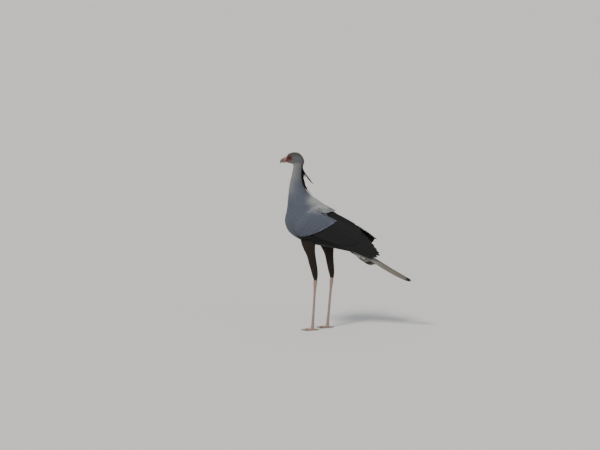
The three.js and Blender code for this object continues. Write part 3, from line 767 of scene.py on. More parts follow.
def laid(at, p, q, length, width, rise, outline, tone, unwrap, **form):
    """Closed thin vanes over the surface at(p, q), one from each root: points, faces, colours and maps.

    length and width are millimetres, or units of p and q with form["fan"]. unwrap is the range of p and
    of q, with the part of the sheet that it fills, for the map of the roots' places. Without a surface,
    form["spot"] gives the points and the directions out for millimetres across and along each vane.
    """
    across = np.asarray(form.get("across", (-0.5, -0.25, 0, 0.25, 0.5)))
    along = np.asarray(form.get("along", (0, 0.3, 0.55, 0.77, 0.92, 1)))
    count, rows, columns = len(p), len(along), len(across)

    def each(value):
        return np.broadcast_to(np.asarray(value, float), count)[:, None, None]

    t, u = along[None, :, None], across[None, None, :]
    share = outline(along)[0][None, :, None]
    ragged = 1 + form.get("ragged", 0.0) * chance.standard_normal((count, rows, columns))
    x = u * each(width) * share * ragged
    y = t * each(length) + 0 * u
    step_p, step_q = (each(step) for step in (pace(at, p, q) if at else (1.0, 1.0)))
    reach_p, reach_q = (1.0, 1.0) if form.get("fan") else (step_p, step_q)
    real_x, real_y = x * step_q / reach_q, y * step_p / reach_p
    turn = each(form.get("turn", 0.0))
    pp = each(p) + (y * np.cos(turn) - x * np.sin(turn)) / reach_p * bool(at)
    qq = each(q) + (y * np.sin(turn) + x * np.cos(turn)) / reach_q * bool(at)
    shaft = form.get("shaft", 0.0)
    edge = np.where(u < shaft, (u - shaft) / (across[0] - shaft), (u - shaft) / (across[-1] - shaft))
    level = rise(along)[0][None, :, None] + each(form.get("lift", 0.0))
    level = level + form.get("slope", 0.0) * u * share - form.get("droop", 0.7) * edge**2
    thick = form.get("thick", 0.28) * (1 - edge**2) * (1 - 0.6 * t)
    thick = thick + form.get("quill", 0.0) * (edge < 0.02) * (1 - 0.8 * t)
    inner = np.zeros((1, rows, columns))
    inner[:, 1:-1, 1:-1] = 1
    thick = thick * inner + 0 * each(p)
    side = form.get("side", 1)
    here, normal = outward(at, pp, qq, side) if at else form["spot"](x, y)
    top = here + normal * (level + thick)[..., None]
    under = (here + normal * (level - thick)[..., None])[:, 1:-1, 1:-1]
    points = np.concatenate([top.reshape(count, -1, 3), under.reshape(count, -1, 3)], 1)
    # The underside shares its rim with the top
    upper = np.arange(rows * columns).reshape(rows, columns)
    lower = upper.copy()
    lower[1:-1, 1:-1] = rows * columns + np.arange((rows - 2) * (columns - 2)).reshape(rows - 2, -1)
    sheets = [
        np.stack([g[:-1, :-1], g[:-1, 1:], g[1:, 1:], g[1:, :-1]], -1).reshape(-1, 4)
        for g in (upper, lower)
    ]
    faces = np.concatenate([sheets[0], sheets[1][:, ::-1]])[:, ::side]
    quads = faces[None] + (np.arange(count) * points.shape[1])[:, None, None]

    def both(values):
        """Values on the top's grid, repeated for the underside."""
        kinds = values.shape[-1]
        values = np.broadcast_to(values, (count, rows, columns, kinds))
        under = values[:, 1:-1, 1:-1].reshape(count, -1, kinds)
        return np.concatenate([values.reshape(count, rows * columns, -1), under], 1).reshape(-1, kinds)

    colour = tone(pp, qq, t + 0 * pp, edge + 0 * pp)
    colour = colour * (1 + form.get("uneven", 0.05) * chance.standard_normal(count))[:, None, None, None]
    (p_low, p_high), (q_low, q_high), (left, bottom, right, top_edge) = unwrap
    patch = form.get("patch", (0.003, 0.003))
    home_p, home_q = form.get("home", (p, q))
    home_u = left + (right - left) * (each(home_q) - q_low) / (q_high - q_low)
    home_v = bottom + (top_edge - bottom) * (each(home_p) - p_low) / (p_high - p_low)
    bake = np.stack([home_u + patch[0] * u + 0 * pp, home_v + patch[1] * t + 0 * pp], -1)
    rim = 1 - inner[..., None]
    vane = np.stack([real_x - shaft * real_x / np.where(u == 0, 1, u) * (u != 0), real_y], -1)
    return {
        "points": points.reshape(-1, 3),
        "quads": quads.reshape(-1, 4),
        "colour": both(np.clip(colour, 0.004, 1)),
        "vane": both(vane / 10),
        "bake": both(bake),
        "rim": both(rim)[:, 0] > 0,
    }


def plumage(name, sets, finish, slot, *stands_for):
    """One object from several sets of vanes."""
    starts = np.cumsum([0] + [len(one["points"]) for one in sets[:-1]])
    quads = np.concatenate([one["quads"] + start for one, start in zip(sets, starts)]).astype(np.int32)
    gather = {key: np.concatenate([one[key] for one in sets]) for key in sets[0] if key != "quads"}
    points = placed(gather["points"])
    mesh = bpy.data.meshes.new(name)
    mesh.vertices.add(len(points))
    mesh.vertices.foreach_set("co", points.astype(np.float32).ravel())
    mesh.loops.add(quads.size)
    mesh.loops.foreach_set("vertex_index", quads.ravel())
    mesh.polygons.add(len(quads))
    mesh.polygons.foreach_set("loop_start", np.arange(0, quads.size, 4, dtype=np.int32))
    mesh.update(calc_edges=True)
    piece = piece_of(name, mesh, finish)
    # Shading a mesh smooth forgets its sharp edges, so the rims of the vanes are marked after it
    sharp = mesh.attributes.new("sharp_edge", "BOOLEAN", "EDGE")
    sharp.data.foreach_set("value", gather["rim"][read(mesh.edges, "vertices", 2, np.int32)].all(1))
    for title, key in (("OFBake", "bake"), ("Vane", "vane")):
        uv = mesh.uv_layers.new(name=title)
        uv.data.foreach_set("uv", gather[key][quads.ravel()].astype(np.float32).ravel())
    stained(mesh, "Plumage", gather["colour"])
    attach(piece, "root")
    if stands_for:
        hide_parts(*stands_for)


def staggered(at, p_range, q_range, gap_along, gap_across, loose=0.3):
    """Roots in staggered rows over a surface, spaced in millimetres and loosely placed."""
    found_p, found_q = [], []
    p, odd = p_range[0], 0
    fine = np.linspace(*q_range, 181)
    while p < p_range[1]:
        row = at(np.full(len(fine), p), fine)
        run = np.concatenate([[0], np.cumsum(np.linalg.norm(np.diff(row, axis=0), axis=-1))])
        count = max(3, round(run[-1] / gap_across(p)))
        marks = (np.arange(count) + 0.5 * odd + 0.25 + loose * (chance.random(count) - 0.5)) / count
        q = np.interp(marks * run[-1], run, fine)
        tempo = pace(at, np.full(count, p), q)[0]
        found_q.append(q)
        found_p.append(p + loose * gap_along(p) / tempo * (chance.random(count) - 0.5) * 1.6)
        p += gap_along(p) / np.median(tempo)
        odd = 1 - odd
    return np.concatenate(found_p), np.concatenate(found_q)


def within(outline, y, z):
    """True for the side-view places inside a closed outline."""
    hit = np.zeros(np.shape(y), bool)
    for (y0, z0), (y1, z1) in zip(outline, outline[1:] + outline[:1]):
        hit ^= ((z0 > z) != (z1 > z)) & (y < (y1 - y0) * (z - z0) / (z1 - z0 + 1e-12) + y0)
    return hit


def feather_finish(name, roughness, barbs, sheen):
    """Plumage: each vane's own tone, a darker shaft and fine slanting barbs."""
    finish = Finish(name, Sheen_Weight=sheen, Sheen_Roughness=0.4, Specular_IOR_Level=0.25)
    tint = finish.make("Attribute", {"attribute_name": "Plumage"})
    vane = finish.make("UVMap", {"uv_map": "Vane"})
    out = finish.make("SeparateXYZ", None, {0: vane})
    up = Wire(finish, out.socket.node.outputs[1])
    away = out.sum("ABSOLUTE", out)
    stray = finish.make("TexNoise", None, {"Vector": vane, "Scale": 5.0, "Detail": 4.0})
    strand = (up + away * -1.5 + stray * 0.25) * (math.tau * barbs)
    ridge = strand.sum("SINE", strand) * 0.5 + 0.5
    shaft = 1 - away.sum("MINIMUM", away / 0.035, 1.0)
    clump = finish.make("TexNoise", None, {"Vector": vane, "Scale": 22.0, "Detail": 2.0})
    shade = 0.8 + 0.2 * ridge + 0.22 * (clump - 0.5) - 0.18 * shaft
    grey = finish.make("CombineColor", None, {0: shade, 1: shade, 2: shade})
    finish.wear(
        Base_Color=finish.mix(tint, grey, 1.0, "MULTIPLY"),
        Roughness=roughness + 0.15 * (1 - ridge),
    )
    finish.bump(ridge * 0.5 + clump * 0.5 + shaft * 1.2, 0.35, 0.0004)
    return finish


soft_feather = feather_finish("soft_feather", 0.75, 9.0, 0.12)
WHOLE_SHEET = (0.02, 0.02, 0.97, 0.97)
# Seen from the side, what the folded wing hides, where no small feathers grow
UNDER_WING = [
    (-10, 792),
    (60, 735),
    (20, 700),
    (-20, 682),
    (-56, 662),
    (-50, 640),
    (-26, 626),
    (20, 604),
    (100, 566),
    (170, 545),
    (170, 670),
    (100, 728),
    (30, 785),
]

# The coat's form runs unbroken from the bill over the head, the neck and the shoulders of the folded
# wings, so that no edge shows where they meet. It ends past the trunk, on the root of the tail.
COAT_END = 13.2
COAT_VOXEL = 0.0024
EASE_TURNS = 44
PAD_DEPTH = 8
CROWD = 7  # places that are tried for each root
SCAPULAR_ROOTS = [(-56, 856), (-92, 822)]
SCAPULAR_TIPS = [(34, 812), (4, 806), (-34, 796)]
CAPE_ROOTS = [(-92, 834), (-148, 786), (-198, 730), (-206, 688)]
CAPE_TIPS = [
    (79, 732),
    (46, 710),
    (20, 697),
    (-20, 674),
    (-59, 657),
    (-92, 642),
    (-125, 629),
    (-165, 614),
]


def scapular_lift(p):
    return -14 + 16 * ramp(p, -0.1, 0.7)


def cape_lift(p):
    return -22 + 26.5 * ramp(p, -0.1, 0.36)


def neck_and_trunk(t, angle):
    station = COAT_END * t
    return body(station, angle, -1.5 + 0.9 * (1 - ramp(station, 1, 5)))


coat = bmesh.new()
loft(coat, 80, 72, centred(neck_and_trunk))
loft(coat, 50, 60, centred(lambda t, angle: skull((SKULL_BACK + 14) * t - 14, angle, 0.5 + 0 * t)))


def rump(t, angle):
    """From the end of the trunk to a narrow oval on the tail."""
    level, wide = 13 * np.cos(angle), 23 * np.sin(angle)
    end = tail_roof(100 + 0 * t, 0 * t, -13 + level)
    end[:, 0] += wide
    return body(10.8 + 0 * t, angle, -2) * (1 - t[:, None]) + end * t[:, None]


loft(coat, 30, 48, centred(rump))
for leg in LEGS.values():
    loft(coat, 30, 32, centred(lambda t, angle: thigh(leg, THIGH_LENGTH * t, angle, -1 + 0 * t)))
for side in (LEFT, RIGHT):
    for roots, tips, lift in (
        (CAPE_ROOTS, CAPE_TIPS, cape_lift),
        (SCAPULAR_ROOTS, SCAPULAR_TIPS, scapular_lift),
    ):

        def raised(t, angle, reach):
            face = PAD_DEPTH * (np.sin(angle) * reach - 1)
            at = fan(side, roots, tips, lambda p: lift(p) + face)
            return at(1.14 * t, 0.5 - 0.5 * np.cos(angle) * reach)

        loft(coat, 24, 40, raised)
coat_mesh = one_form("coat", coat, COAT_VOXEL)
coat_points = read(coat_mesh.vertices, "co", 3) * 1000 - SHIFT

# The creases between the parts are smoothed out, less so on the skull
ease = 0.08 + 0.42 * ramp(-head_frame(coat_points)[1], 14, 30)
ends = read(coat_mesh.edges, "vertices", 2, np.int32)
ends = np.concatenate([ends, ends[:, ::-1]])
size = len(coat_points)
links = np.bincount(ends[:, 0], minlength=size)[:, None]
for _ in range(EASE_TURNS):
    total = [np.bincount(ends[:, 0], coat_points[ends[:, 1], k], size) for k in range(3)]
    coat_points += ease[:, None] * (np.stack(total, 1) / links - coat_points)
coat_mesh.vertices.foreach_set("co", coat_points.ravel())
coat_mesh.update()
coat_mesh.calc_loop_triangles()
coat_normals = read(coat_mesh.vertices, "normal", 3)
corners = read(coat_mesh.loop_triangles, "vertices", 3, np.int32)
coat_tree = BVHTree.FromPolygons(coat_points.tolist(), corners.tolist())


def on_coat(points):
    """The nearest places on the coat's form, and the directions out of it there."""
    found = [coat_tree.find_nearest(point) for point in points.reshape(-1, 3).tolist()]
    spot = np.array([one[0] for one in found])
    tri = corners[[one[2] for one in found]]
    a, b, c = (coat_points[tri[:, k]] for k in range(3))
    ab, ac, to = b - a, c - a, spot - a
    bb, cc, bc = (ab * ab).sum(1), (ac * ac).sum(1), (ab * ac).sum(1)
    tb, tc = (to * ab).sum(1), (to * ac).sum(1)
    to_b = (cc * tb - bc * tc) / (bb * cc - bc**2 + 1e-12)
    to_c = (bb * tc - bc * tb) / (bb * cc - bc**2 + 1e-12)
    shares = np.clip(np.stack([1 - to_b - to_c, to_b, to_c], 1), 0, 1)
    normal = unit(sum(shares[:, k : k + 1] * coat_normals[tri[:, k]] for k in range(3)))
    return spot.reshape(points.shape), normal.reshape(points.shape)


# The lie of the coat is known at marks on the trunk, the thighs, the wings and the head, and blends
# between them
KINDS = range(6)
TRUNK, CAPE, SCAPULARS, THIGH, HEAD, TAIL = KINDS


def marked(kind, at, p_range, q_range):
    """Marks in a grid over at(p, q)."""
    p, q = (axis.ravel() for axis in np.meshgrid(np.linspace(*p_range), np.linspace(*q_range)))
    return at(p, q), unit(at(p + 1e-3, q) - at(p, q)), np.full(len(p), kind), p, q


def all_round(count):
    """Angles round a tube, without the first one twice."""
    return 0, 2 * math.pi * (count - 1) / count, count


marks = [
    marked(TRUNK, body, (0.3, 13, 61), all_round(48)),
    marked(TAIL, lambda p, q: tail_roof(p, q, -1 + 0 * p), (20, 110, 10), (-1.4, 1.4, 15)),
    marked(HEAD, skull, (0.5, 104, 24), all_round(28)),
]
for leg in LEGS.values():
    marks.append(marked(THIGH, lambda p, q: thigh(leg, p, q), (30, 150, 13), all_round(14)))
for side in (LEFT, RIGHT):
    cape = fan(side, CAPE_ROOTS, CAPE_TIPS, cape_lift)
    marks.append(marked(CAPE, cape, (0.05, 1.1, 16), (0.02, 0.98, 18)))
    scapulars = fan(side, SCAPULAR_ROOTS, SCAPULAR_TIPS, scapular_lift)
    marks.append(marked(SCAPULARS, scapulars, (0.1, 1, 10), (0.02, 0.98, 7)))
trunk_marks = len(marks[0][0])
mark_place, mark_lie, mark_kind, mark_p, mark_q = (np.concatenate(column) for column in zip(*marks))
# On the cheeks the feathers sweep down as they run back
mark_a, mark_h = head_frame(mark_place)
sweep = 1.3 * (mark_kind == HEAD) * ramp(mark_a, 15, 85) * ramp(-mark_h, -14, 26)
mark_lie = unit(mark_lie + sweep[:, None] * np.array([0, 0, -1.0]))
buried = np.linalg.norm(on_coat(mark_place)[0] - mark_place, axis=1)
shown = buried < np.where(mark_place[:, 2] > 1040, 5, 7)


def lie_of_coat(places):
    """For places on the coat: its lie, the trunk's station and angle, and the share of each part."""
    lie, shares, nearest = [], [], []
    for part in np.array_split(places, max(1, len(places) // 500)):
        square = ((part[:, None] - mark_place[None]) ** 2).sum(2)
        blur = np.interp(part[:, 2], [920, 1060], [15.0, 7.0])[:, None]
        weight = np.exp(-square / (2 * blur**2)) * shown + 1e-12
        lie.append(weight @ mark_lie)
        total = weight.sum(1)
        shares.append(np.stack([(weight * (mark_kind == kind)).sum(1) / total for kind in KINDS], 1))
        nearest.append(square[:, :trunk_marks].argmin(1))
    nearest = np.concatenate(nearest)
    return np.concatenate(lie), mark_p[nearest], mark_q[nearest], np.concatenate(shares)


def strewn(places, spacing):
    """Picks from a cloud of places so that none is nearer to another than its spacing."""
    near = KDTree(len(places))
    for k, point in enumerate(places):
        near.insert(point, k)
    near.balance()
    free = spacing > 0
    kept = []
    for k in range(len(places)):
        if free[k]:
            kept.append(k)
            for _, other, _ in near.find_range(places[k], spacing[k]):
                free[other] = False
    return np.array(kept)


# Seen from the side, the part of the wing that the shoulder's small feathers cover
CAPE_REGION = [
    (-60, 815),
    (30, 762),
    (3, 738),
    (-22, 727),
    (-60, 704),
    (-94, 680),
    (-116, 662),
    (-150, 644),
    (-186, 632),
    (-260, 632),
    (-260, 920),
    (-60, 920),
]
# Black wing feathers show in a wedge between the scapulars and the coverts
WEDGE = [(-78, 812), (-20, 802), (90, 800), (90, 735), (30, 762), (-14, 774), (-60, 800)]
# Roots: their spacing goes by height on the neck and the trunk, and by the distance from the bill on
# the head
centre = coat_points[corners].mean(1)
edges = coat_points[corners[:, 1:]] - coat_points[corners[:, :1]]
area = np.linalg.norm(np.cross(edges[:, 0], edges[:, 1]), axis=1) / 2
head_a, head_h = head_frame(centre)
on_body = np.interp(
    centre[:, 2], [620, 760, 860, 930, 1000, 1060, 1100], [8.0, 7.4, 6.5, 5.0, 4.0, 3.5, 3.1]
)
on_skull = np.interp(head_a, [0, 14, 40, 75, 105], [1.2, 1.4, 2.0, 2.6, 3.0])
spacing = on_body + (on_skull - on_body) * ramp(head_h, -36, -22)
on_leg = (centre[:, 2] < 530) & (centre[:, 1] < 90)
spacing = np.where(on_leg | (head_a < 0.4) & (head_h > -25), 0, spacing)
wanted = CROWD * area / np.maximum(spacing, 0.5) ** 2 * (spacing > 0)
tri = np.repeat(np.arange(len(centre)), chance.poisson(wanted))
tri = chance.permutation(tri)
first, second = chance.random((2, len(tri), 1))
beyond = first + second > 1
first, second = np.where(beyond, 1 - first, first), np.where(beyond, 1 - second, second)
cloud = coat_points[corners[tri, 0]] + first * edges[tri, 0] + second * edges[tri, 1]
picked = strewn(cloud, spacing[tri])
root_size = spacing[tri[picked]]
root_place, root_out = on_coat(cloud[picked])
lie, station, angle, share = lie_of_coat(root_place)
root_a, root_h = head_frame(root_place)
on_head = share[:, HEAD] > 0.5
on_wing = share[:, CAPE] + share[:, SCAPULARS]
out, y, z = root_place.T
under = within(UNDER_WING, y, z) & (np.abs(out) > 42) & (on_wing < 0.5)
past = (share[:, CAPE] > 0.5) & ~within(CAPE_REGION, y, z)
on_face = on_head & (root_a < 50) & (bare(root_a, root_h) > 0.8 + 0.15 * chance.random(len(picked)))
wedge = within(WEDGE, y, z) & (on_wing > 0.5)
# Below the shoulder's last grey feathers, the black ones of the belly hang on
hanging = (on_wing > 0.3) & (z < 656) & (y > -178)
on_thigh = (share[:, THIGH] > 0.5) & (z < 600)
share[hanging, CAPE:THIGH] = 0
past = np.where(hanging, z > 634, past)
shown_root = ~(under | past | on_face | on_thigh | wedge)
root_place, root_out, root_size, lie, station, angle = (
    values[shown_root] for values in (root_place, root_out, root_size, lie, station, angle)
)
share, root_a, root_h, on_head, hanging = (
    values[shown_root] for values in (share, root_a, root_h, on_head, hanging)
)
out, y, z = root_place.T
on_wing = share[:, CAPE] + share[:, SCAPULARS]
turn = 0.09 * chance.standard_normal(len(root_place))
lie = unit(lie - root_out * (lie * root_out).sum(1, keepdims=True))
across = np.cross(lie, root_out)
lie, across = (
    lie * np.cos(turn)[:, None] + across * np.sin(turn)[:, None],
    across * np.cos(turn)[:, None] - lie * np.sin(turn)[:, None],
)
shoulder_tone = blended(GREY, PALE, ramp(z + 0.55 * y, 800, 836))
root_tone = blended(body_tone(station, angle), shoulder_tone, on_wing)
# Feathers that face up on the back are painted paler: a painted highlight where light from above falls
# on them.
painted_highlight = ramp(root_out[:, 2], 0.3, 0.95) * ramp(station, 4, 5) * (1 - ramp(station, 8, 8.8))
root_tone = blended(root_tone, (0.42, 0.42, 0.405), 0.85 * painted_highlight * (1 - share[:, CAPE]))
root_tone = blended(root_tone, head_tone(root_a, root_h), share[:, HEAD])
belly = ramp(y + 0.3 * (z - 600), -205, -180) * (1 - ramp(z, 636, 664))
belly = np.maximum(belly * (1 - on_wing), hanging)
root_tone = blended(root_tone, BLACK, np.maximum(ramp(share[:, THIGH], 0.15, 0.4), belly))
vent = ramp(y - 0.25 * (z - 600), 150, 185)
root_tone = blended(root_tone, WHITE, vent * (0.15 + 0.75 * chance.random(len(root_place))))


def coat_tone(p, q, t, edge):
    """A feather has the colour of its place, a paler fringe and a dusky base."""
    fringe = np.maximum(ramp(t, 0.72, 1), ramp(edge, 0.6, 1))
    shade = (0.88 + 0.2 * fringe) * (0.82 + 0.18 * ramp(t, 0, 0.45))
    return root_tone[p[:, 0, 0].astype(int)][:, None, None] * shade[..., None]


HEAD_OUTLINE = through([[0, 0.85], [0.3, 1], [0.6, 0.95], [0.85, 0.6], [1, 0.1]])
HEAD_RISE = through([[0, -2.4], [0.3, -0.7], [0.7, 0.25], [1, -0.25]])
FINE_GRID = {"across": (-0.5, 0, 0.5), "along": (0, 0.35, 0.65, 0.88, 1)}
FINE_VANE = HEAD_OUTLINE, HEAD_RISE, {"droop": 0.2, "thick": 0.16, **FINE_GRID}
BROAD_VANE = CONTOUR_OUTLINE, CONTOUR_RISE, {"droop": 0.35}
on_neck = ~on_head & (station < 4.2)
on_breast = ~on_head & ~on_neck & (station < 7.4) & (on_wing < 0.5) & (y < -90)
on_back = ~on_head & ~on_neck & ~on_breast & ((on_wing >= 0.5) | (np.cos(angle) > 0.1))
on_belly = ~(on_head | on_neck | on_breast | on_back)
# Rows of: name, roots, length and width over the spacing, height over the form, vane, colour group
for name, chosen, long, wide, lift, (outline, rise, form), slot in (
    ("head_feathers", on_head, 4.6, 2.7, 0.3, FINE_VANE, "face_plumage"),
    ("neck_feathers", on_neck, 4.8, 2.7, 0.7, FINE_VANE, "grey_plumage"),
    ("breast_feathers", on_breast, 4.6, 2.6, 1.2, BROAD_VANE, "grey_plumage"),
    ("back_feathers", on_back, 4.6, 2.6, 1.2, BROAD_VANE, "grey_plumage"),
    ("belly_feathers", on_belly, 4.6, 2.6, 1.2, BROAD_VANE, "grey_plumage"),
):
    chosen = np.flatnonzero(chosen)

    def spot(x, y):
        flat = root_place[chosen][:, None, None] + across[chosen][:, None, None] * x[..., None]
        return on_coat(flat + lie[chosen][:, None, None] * y[..., None])

    count = len(chosen)
    home = (station[chosen] / COAT_END, angle[chosen] / (2 * math.pi))
    if name == "head_feathers":
        round_head = np.arctan2(out[chosen], root_h[chosen]) / (2 * math.pi)
        home = (root_a[chosen] / HEAD_LENGTH, 0.5 + round_head)
    vanes = laid(
        None,
        chosen.astype(float),
        np.zeros(count),
        root_size[chosen] * long * (1 + 0.1 * chance.standard_normal(count)),
        root_size[chosen] * wide * (1 + 0.08 * chance.standard_normal(count)),
        rise,
        outline,
        coat_tone,
        ((0, 1), (0, 1), WHOLE_SHEET),
        spot=spot,
        home=home,
        lift=lift * (1 + 0.14 * chance.standard_normal(count)),
        uneven=0.04,
        **form,
    )
    plumage(name, [vanes], soft_feather, slot)


# Trousers
# Short dense black feathers cover both thighs from the belly down to the ankle. They lie close and
# point down, and end in a ragged cuff round the top of the bare shank.

THIGH_RISE = through([[0, -4], [0.3, -1.2], [0.7, 0.3], [1, -0.3]])


def thigh_tone(p, q, t, edge):
    fringe = np.maximum(ramp(t, 0.75, 1), ramp(edge, 0.65, 1))
    return blended((0.015, 0.0095, 0.0065), (0.038, 0.022, 0.012), 0.8 * fringe)


for name, leg in LEGS.items():

    def surface(down, angle):
        return thigh(leg, down, angle)

    root_p, root_q = staggered(
        surface, (38, 306), (0, 2 * math.pi), lambda p: 7.2 - 0.009 * p, lambda p: 7.4 - 0.009 * p
    )
    count = len(root_p)
    size = 1 - 0.4 * ramp(root_p, 180, 306)
    vanes = laid(
        surface,
        root_p,
        root_q,
        27 * size * (1 + 0.12 * chance.standard_normal(count)),
        14 * size * (1 + 0.1 * chance.standard_normal(count)),
        THIGH_RISE,
        CONTOUR_OUTLINE,
        thigh_tone,
        ((0, 320), (0, 2 * math.pi), WHOLE_SHEET),
        turn=0.12 * chance.standard_normal(count),
        lift=0.35 * chance.standard_normal(count),
        droop=0.8,
        uneven=0.12,
    )
    plumage(f"thigh_feathers_{name}", [vanes], soft_feather, "black_plumage")


# Wings
# Each folded wing shows its tiers: black primaries and secondaries with stiff shafts, a row of slate
# coverts over them, and the long pale scapulars that fall from the back. Each feather overlaps the
# next one down, and the small coverts of the shoulder belong to the coat.

FLIGHT_OUTLINE = through([[0, 0.85], [0.5, 1], [0.8, 0.95], [0.92, 0.76], [0.975, 0.46], [1, 0.12]])
FLIGHT_ROWS = (0, 0.12, 0.25, 0.38, 0.5, 0.6, 0.7, 0.78, 0.85, 0.91, 0.95, 0.98, 1)
FLIGHT_COLUMNS = (-0.5, -0.36, -0.18, 0, 0.11, 0.15, 0.19, 0.3, 0.41, 0.5)
SLATE = (0.098, 0.112, 0.142)
stiff_feather = feather_finish("stiff_feather", 0.5, 6.0, 0.0)


def black_vane(p, q, t, edge):
    return blended(BLACK, (0.03, 0.026, 0.023), 0.8 * ramp(edge, 0.7, 1) * ramp(t, 0.1, 0.5))


def slate_vane(p, q, t, edge):
    fringe = np.maximum(ramp(t, 0.86, 1), ramp(edge, 0.7, 1))
    base = blended(np.array(SLATE) * 0.7, SLATE, ramp(t, 0.05, 0.6))
    return blended(base, (0.13, 0.145, 0.17), 0.5 * fringe)


def pale_vane(p, q, t, edge):
    fringe = np.maximum(ramp(t, 0.8, 1), ramp(edge, 0.7, 1))
    return blended((0.19, 0.2, 0.205), (0.3, 0.3, 0.29), 0.7 * fringe)


# Places seen from the side, and far_ places where the right wing is folded differently
TIERS = {
    "primaries": {
        "count": 10,
        "roots": [(40, 740), (-40, 690), (-110, 640)],
        "tips": [(214, 674), (262, 636), (300, 596), (334, 554), (366, 508), (346, 487), (300, 474)],
        "far_tips": [(232, 682), (292, 650), (345, 614), (318, 568), (348, 514), (336, 490), (296, 476)],
        "start": through([[0, 0.6], [0.5, 0.5], [1, 0.15]]),
        "overlap": 1.6,
        "rise": through([[0, -8.5], [0.16, -4.4], [1, -1.5]]),
        "slope": 2.0,
        "tone": black_vane,
        "sheet": (0.02, 0.02, 0.9, 0.1),
    },
    "secondaries": {
        "count": 13,
        "roots": [(-8, 824), (-50, 756), (-96, 704), (-136, 660)],
        "far_roots": [(-8, 800), (-50, 750), (-96, 704), (-136, 660)],
        "tips": [(188, 712), (236, 666), (240, 612), (196, 574), (130, 568), (52, 584)],
        "far_tips": [(180, 696), (236, 658), (240, 612), (196, 574), (130, 568), (52, 584)],
        "start": through([[0, 0.1], [0.3, 0.2], [1, 0.2]]),
        "overlap": 2.0,
        "rise": through([[0, -8], [0.12, -3.2], [0.4, -0.8], [1, 2.5]]),
        "slope": 1.4,
        "tone": black_vane,
        "sheet": (0.02, 0.25, 0.9, 0.33),
    },
    "greater_coverts": {
        "count": 12,
        "roots": [(-50, 800), (-92, 756), (-140, 704), (-160, 676)],
        "tips": [(80, 732), (46, 710), (20, 697), (-20, 674), (-59, 657), (-92, 642), (-122, 629)],
        "start": through([[0, 0.25], [1, 0.25]]),
        "overlap": 1.9,
        "rise": through([[0, -11], [0.3, -3.6], [0.7, 0.6], [1, 2.6]]),
        "slope": 0.9,
        "tone": slate_vane,
        "tuck": 6,
        "droop": 0.45,
        "sheet": (0.02, 0.48, 0.9, 0.53),
    },
    "long_scapulars": {
        "count": 9,
        "roots": [(-56, 856), (-92, 822)],
        "tips": [(84, 800), (46, 791), (-4, 782)],
        "far_tips": [(70, 790), (40, 786), (-4, 780)],
        "spine": 4.5,
        "start": through([[0, 0.35], [1, 0.35]]),
        "overlap": 2.3,
        "rise": through([[0, -10], [0.35, -0.5], [1, 3.4]]),
        "slope": 0.9,
        "tone": pale_vane,
        "sheet": (0.02, 0.74, 0.9, 0.79),
    },
}
for side, name, far in ((LEFT, "left", ""), (RIGHT, "right", "far_")):
    sets = []
    for tier in TIERS.values():
        count = tier["count"]
        surface = fan(side, tier.get(far + "roots", tier["roots"]), tier.get(far + "tips", tier["tips"]))
        middle = (np.arange(count) + 0.5 + 0.16 * (chance.random(count) - 0.5)) / count
        start = tier["start"](middle)[0]
        tucked = tier.get("tuck", 0) * ramp(middle, 0.72, 1)
        under_spine = tier.get("spine", 0) * (1 - ramp(middle, 0, 0.35))
        left, bottom, right, top = tier["sheet"]
        vanes = laid(
            surface,
            start,
            middle,
            1 + 0.03 * (chance.random(count) - 0.5) - start,
            tier["overlap"] / count * (1 + 0.05 * (chance.random(count) - 0.5)),
            tier["rise"],
            FLIGHT_OUTLINE,
            tier["tone"],
            ((0, 10), (0, 1), (left, bottom, right, bottom + 0.01)),
            fan=True,
            across=FLIGHT_COLUMNS,
            along=FLIGHT_ROWS,
            shaft=0.15,
            quill=0.45,
            slope=tier["slope"] * tier["overlap"],
            lift=-tucked - under_spine,
            droop=tier.get("droop", 0.7),
            ragged=0.008,
            uneven=0.08,
            side=side,
            patch=(0.7 / count, top - bottom),
        )
        sets.append(vanes)
    plumage(f"wing_feathers_{name}", sets, stiff_feather, "black_plumage", f"wing_{name}")


# Tail
# Twelve tail feathers form a steep roof. The middle pair is twice as long as the others, ash grey
# with a black band before the pale tip, and pale coverts with dark spots lie over their roots.

# Rows of [length, angle from the ridge, half the width as an angle]
RECTRICES = [
    (486, 0.5, 0.62),
    (262, 0.54, 0.42),
    (246, 0.74, 0.42),
    (232, 0.94, 0.42),
    (219, 1.14, 0.42),
    (207, 1.34, 0.42),
]
TAIL_START = 14
ASH = (0.165, 0.152, 0.125)


def middle_tail_tone(p, q, t, edge):
    tone = blended((0.27, 0.255, 0.225), ASH, ramp(t, 0.2, 0.6))
    tone = blended(tone, (0.15, 0.125, 0.11), 0.7 * ramp(t, 0.7, 0.9))
    tone = blended(tone, BLACK, ramp(t, 0.9, 0.925))
    return blended(tone, WHITE, ramp(t, 0.975, 0.985))


def side_tail_tone(p, q, t, edge):
    wave = 0.02 * np.sin(9 * edge + 3 * q)
    band = ramp(t + wave, 0.72, 0.75) * (1 - ramp(t + wave, 0.9, 0.93))
    spot = ramp(t + wave, 0.42, 0.45) * (1 - ramp(t + wave, 0.55, 0.58)) * ramp(edge, 0.15, 0.4)
    smudge = 0.5 * ramp(np.sin(41 * t + 5 * q) * np.sin(7 * edge + 23 * t + q), 0.1, 0.7)
    return blended(blended(WHITE, ASH, 0.8), BLACK, np.maximum(np.maximum(band, spot), smudge))


def white_tone(p, q, t, edge):
    tone = blended((0.24, 0.24, 0.225), (0.33, 0.325, 0.305), ramp(t, 0.4, 0.9))
    spot = ramp(t, 0.7, 0.76) * (1 - ramp(t, 0.88, 0.93)) * ramp(edge, 0.1, 0.5)
    return blended(tone, (0.03, 0.03, 0.03), 0.8 * spot)


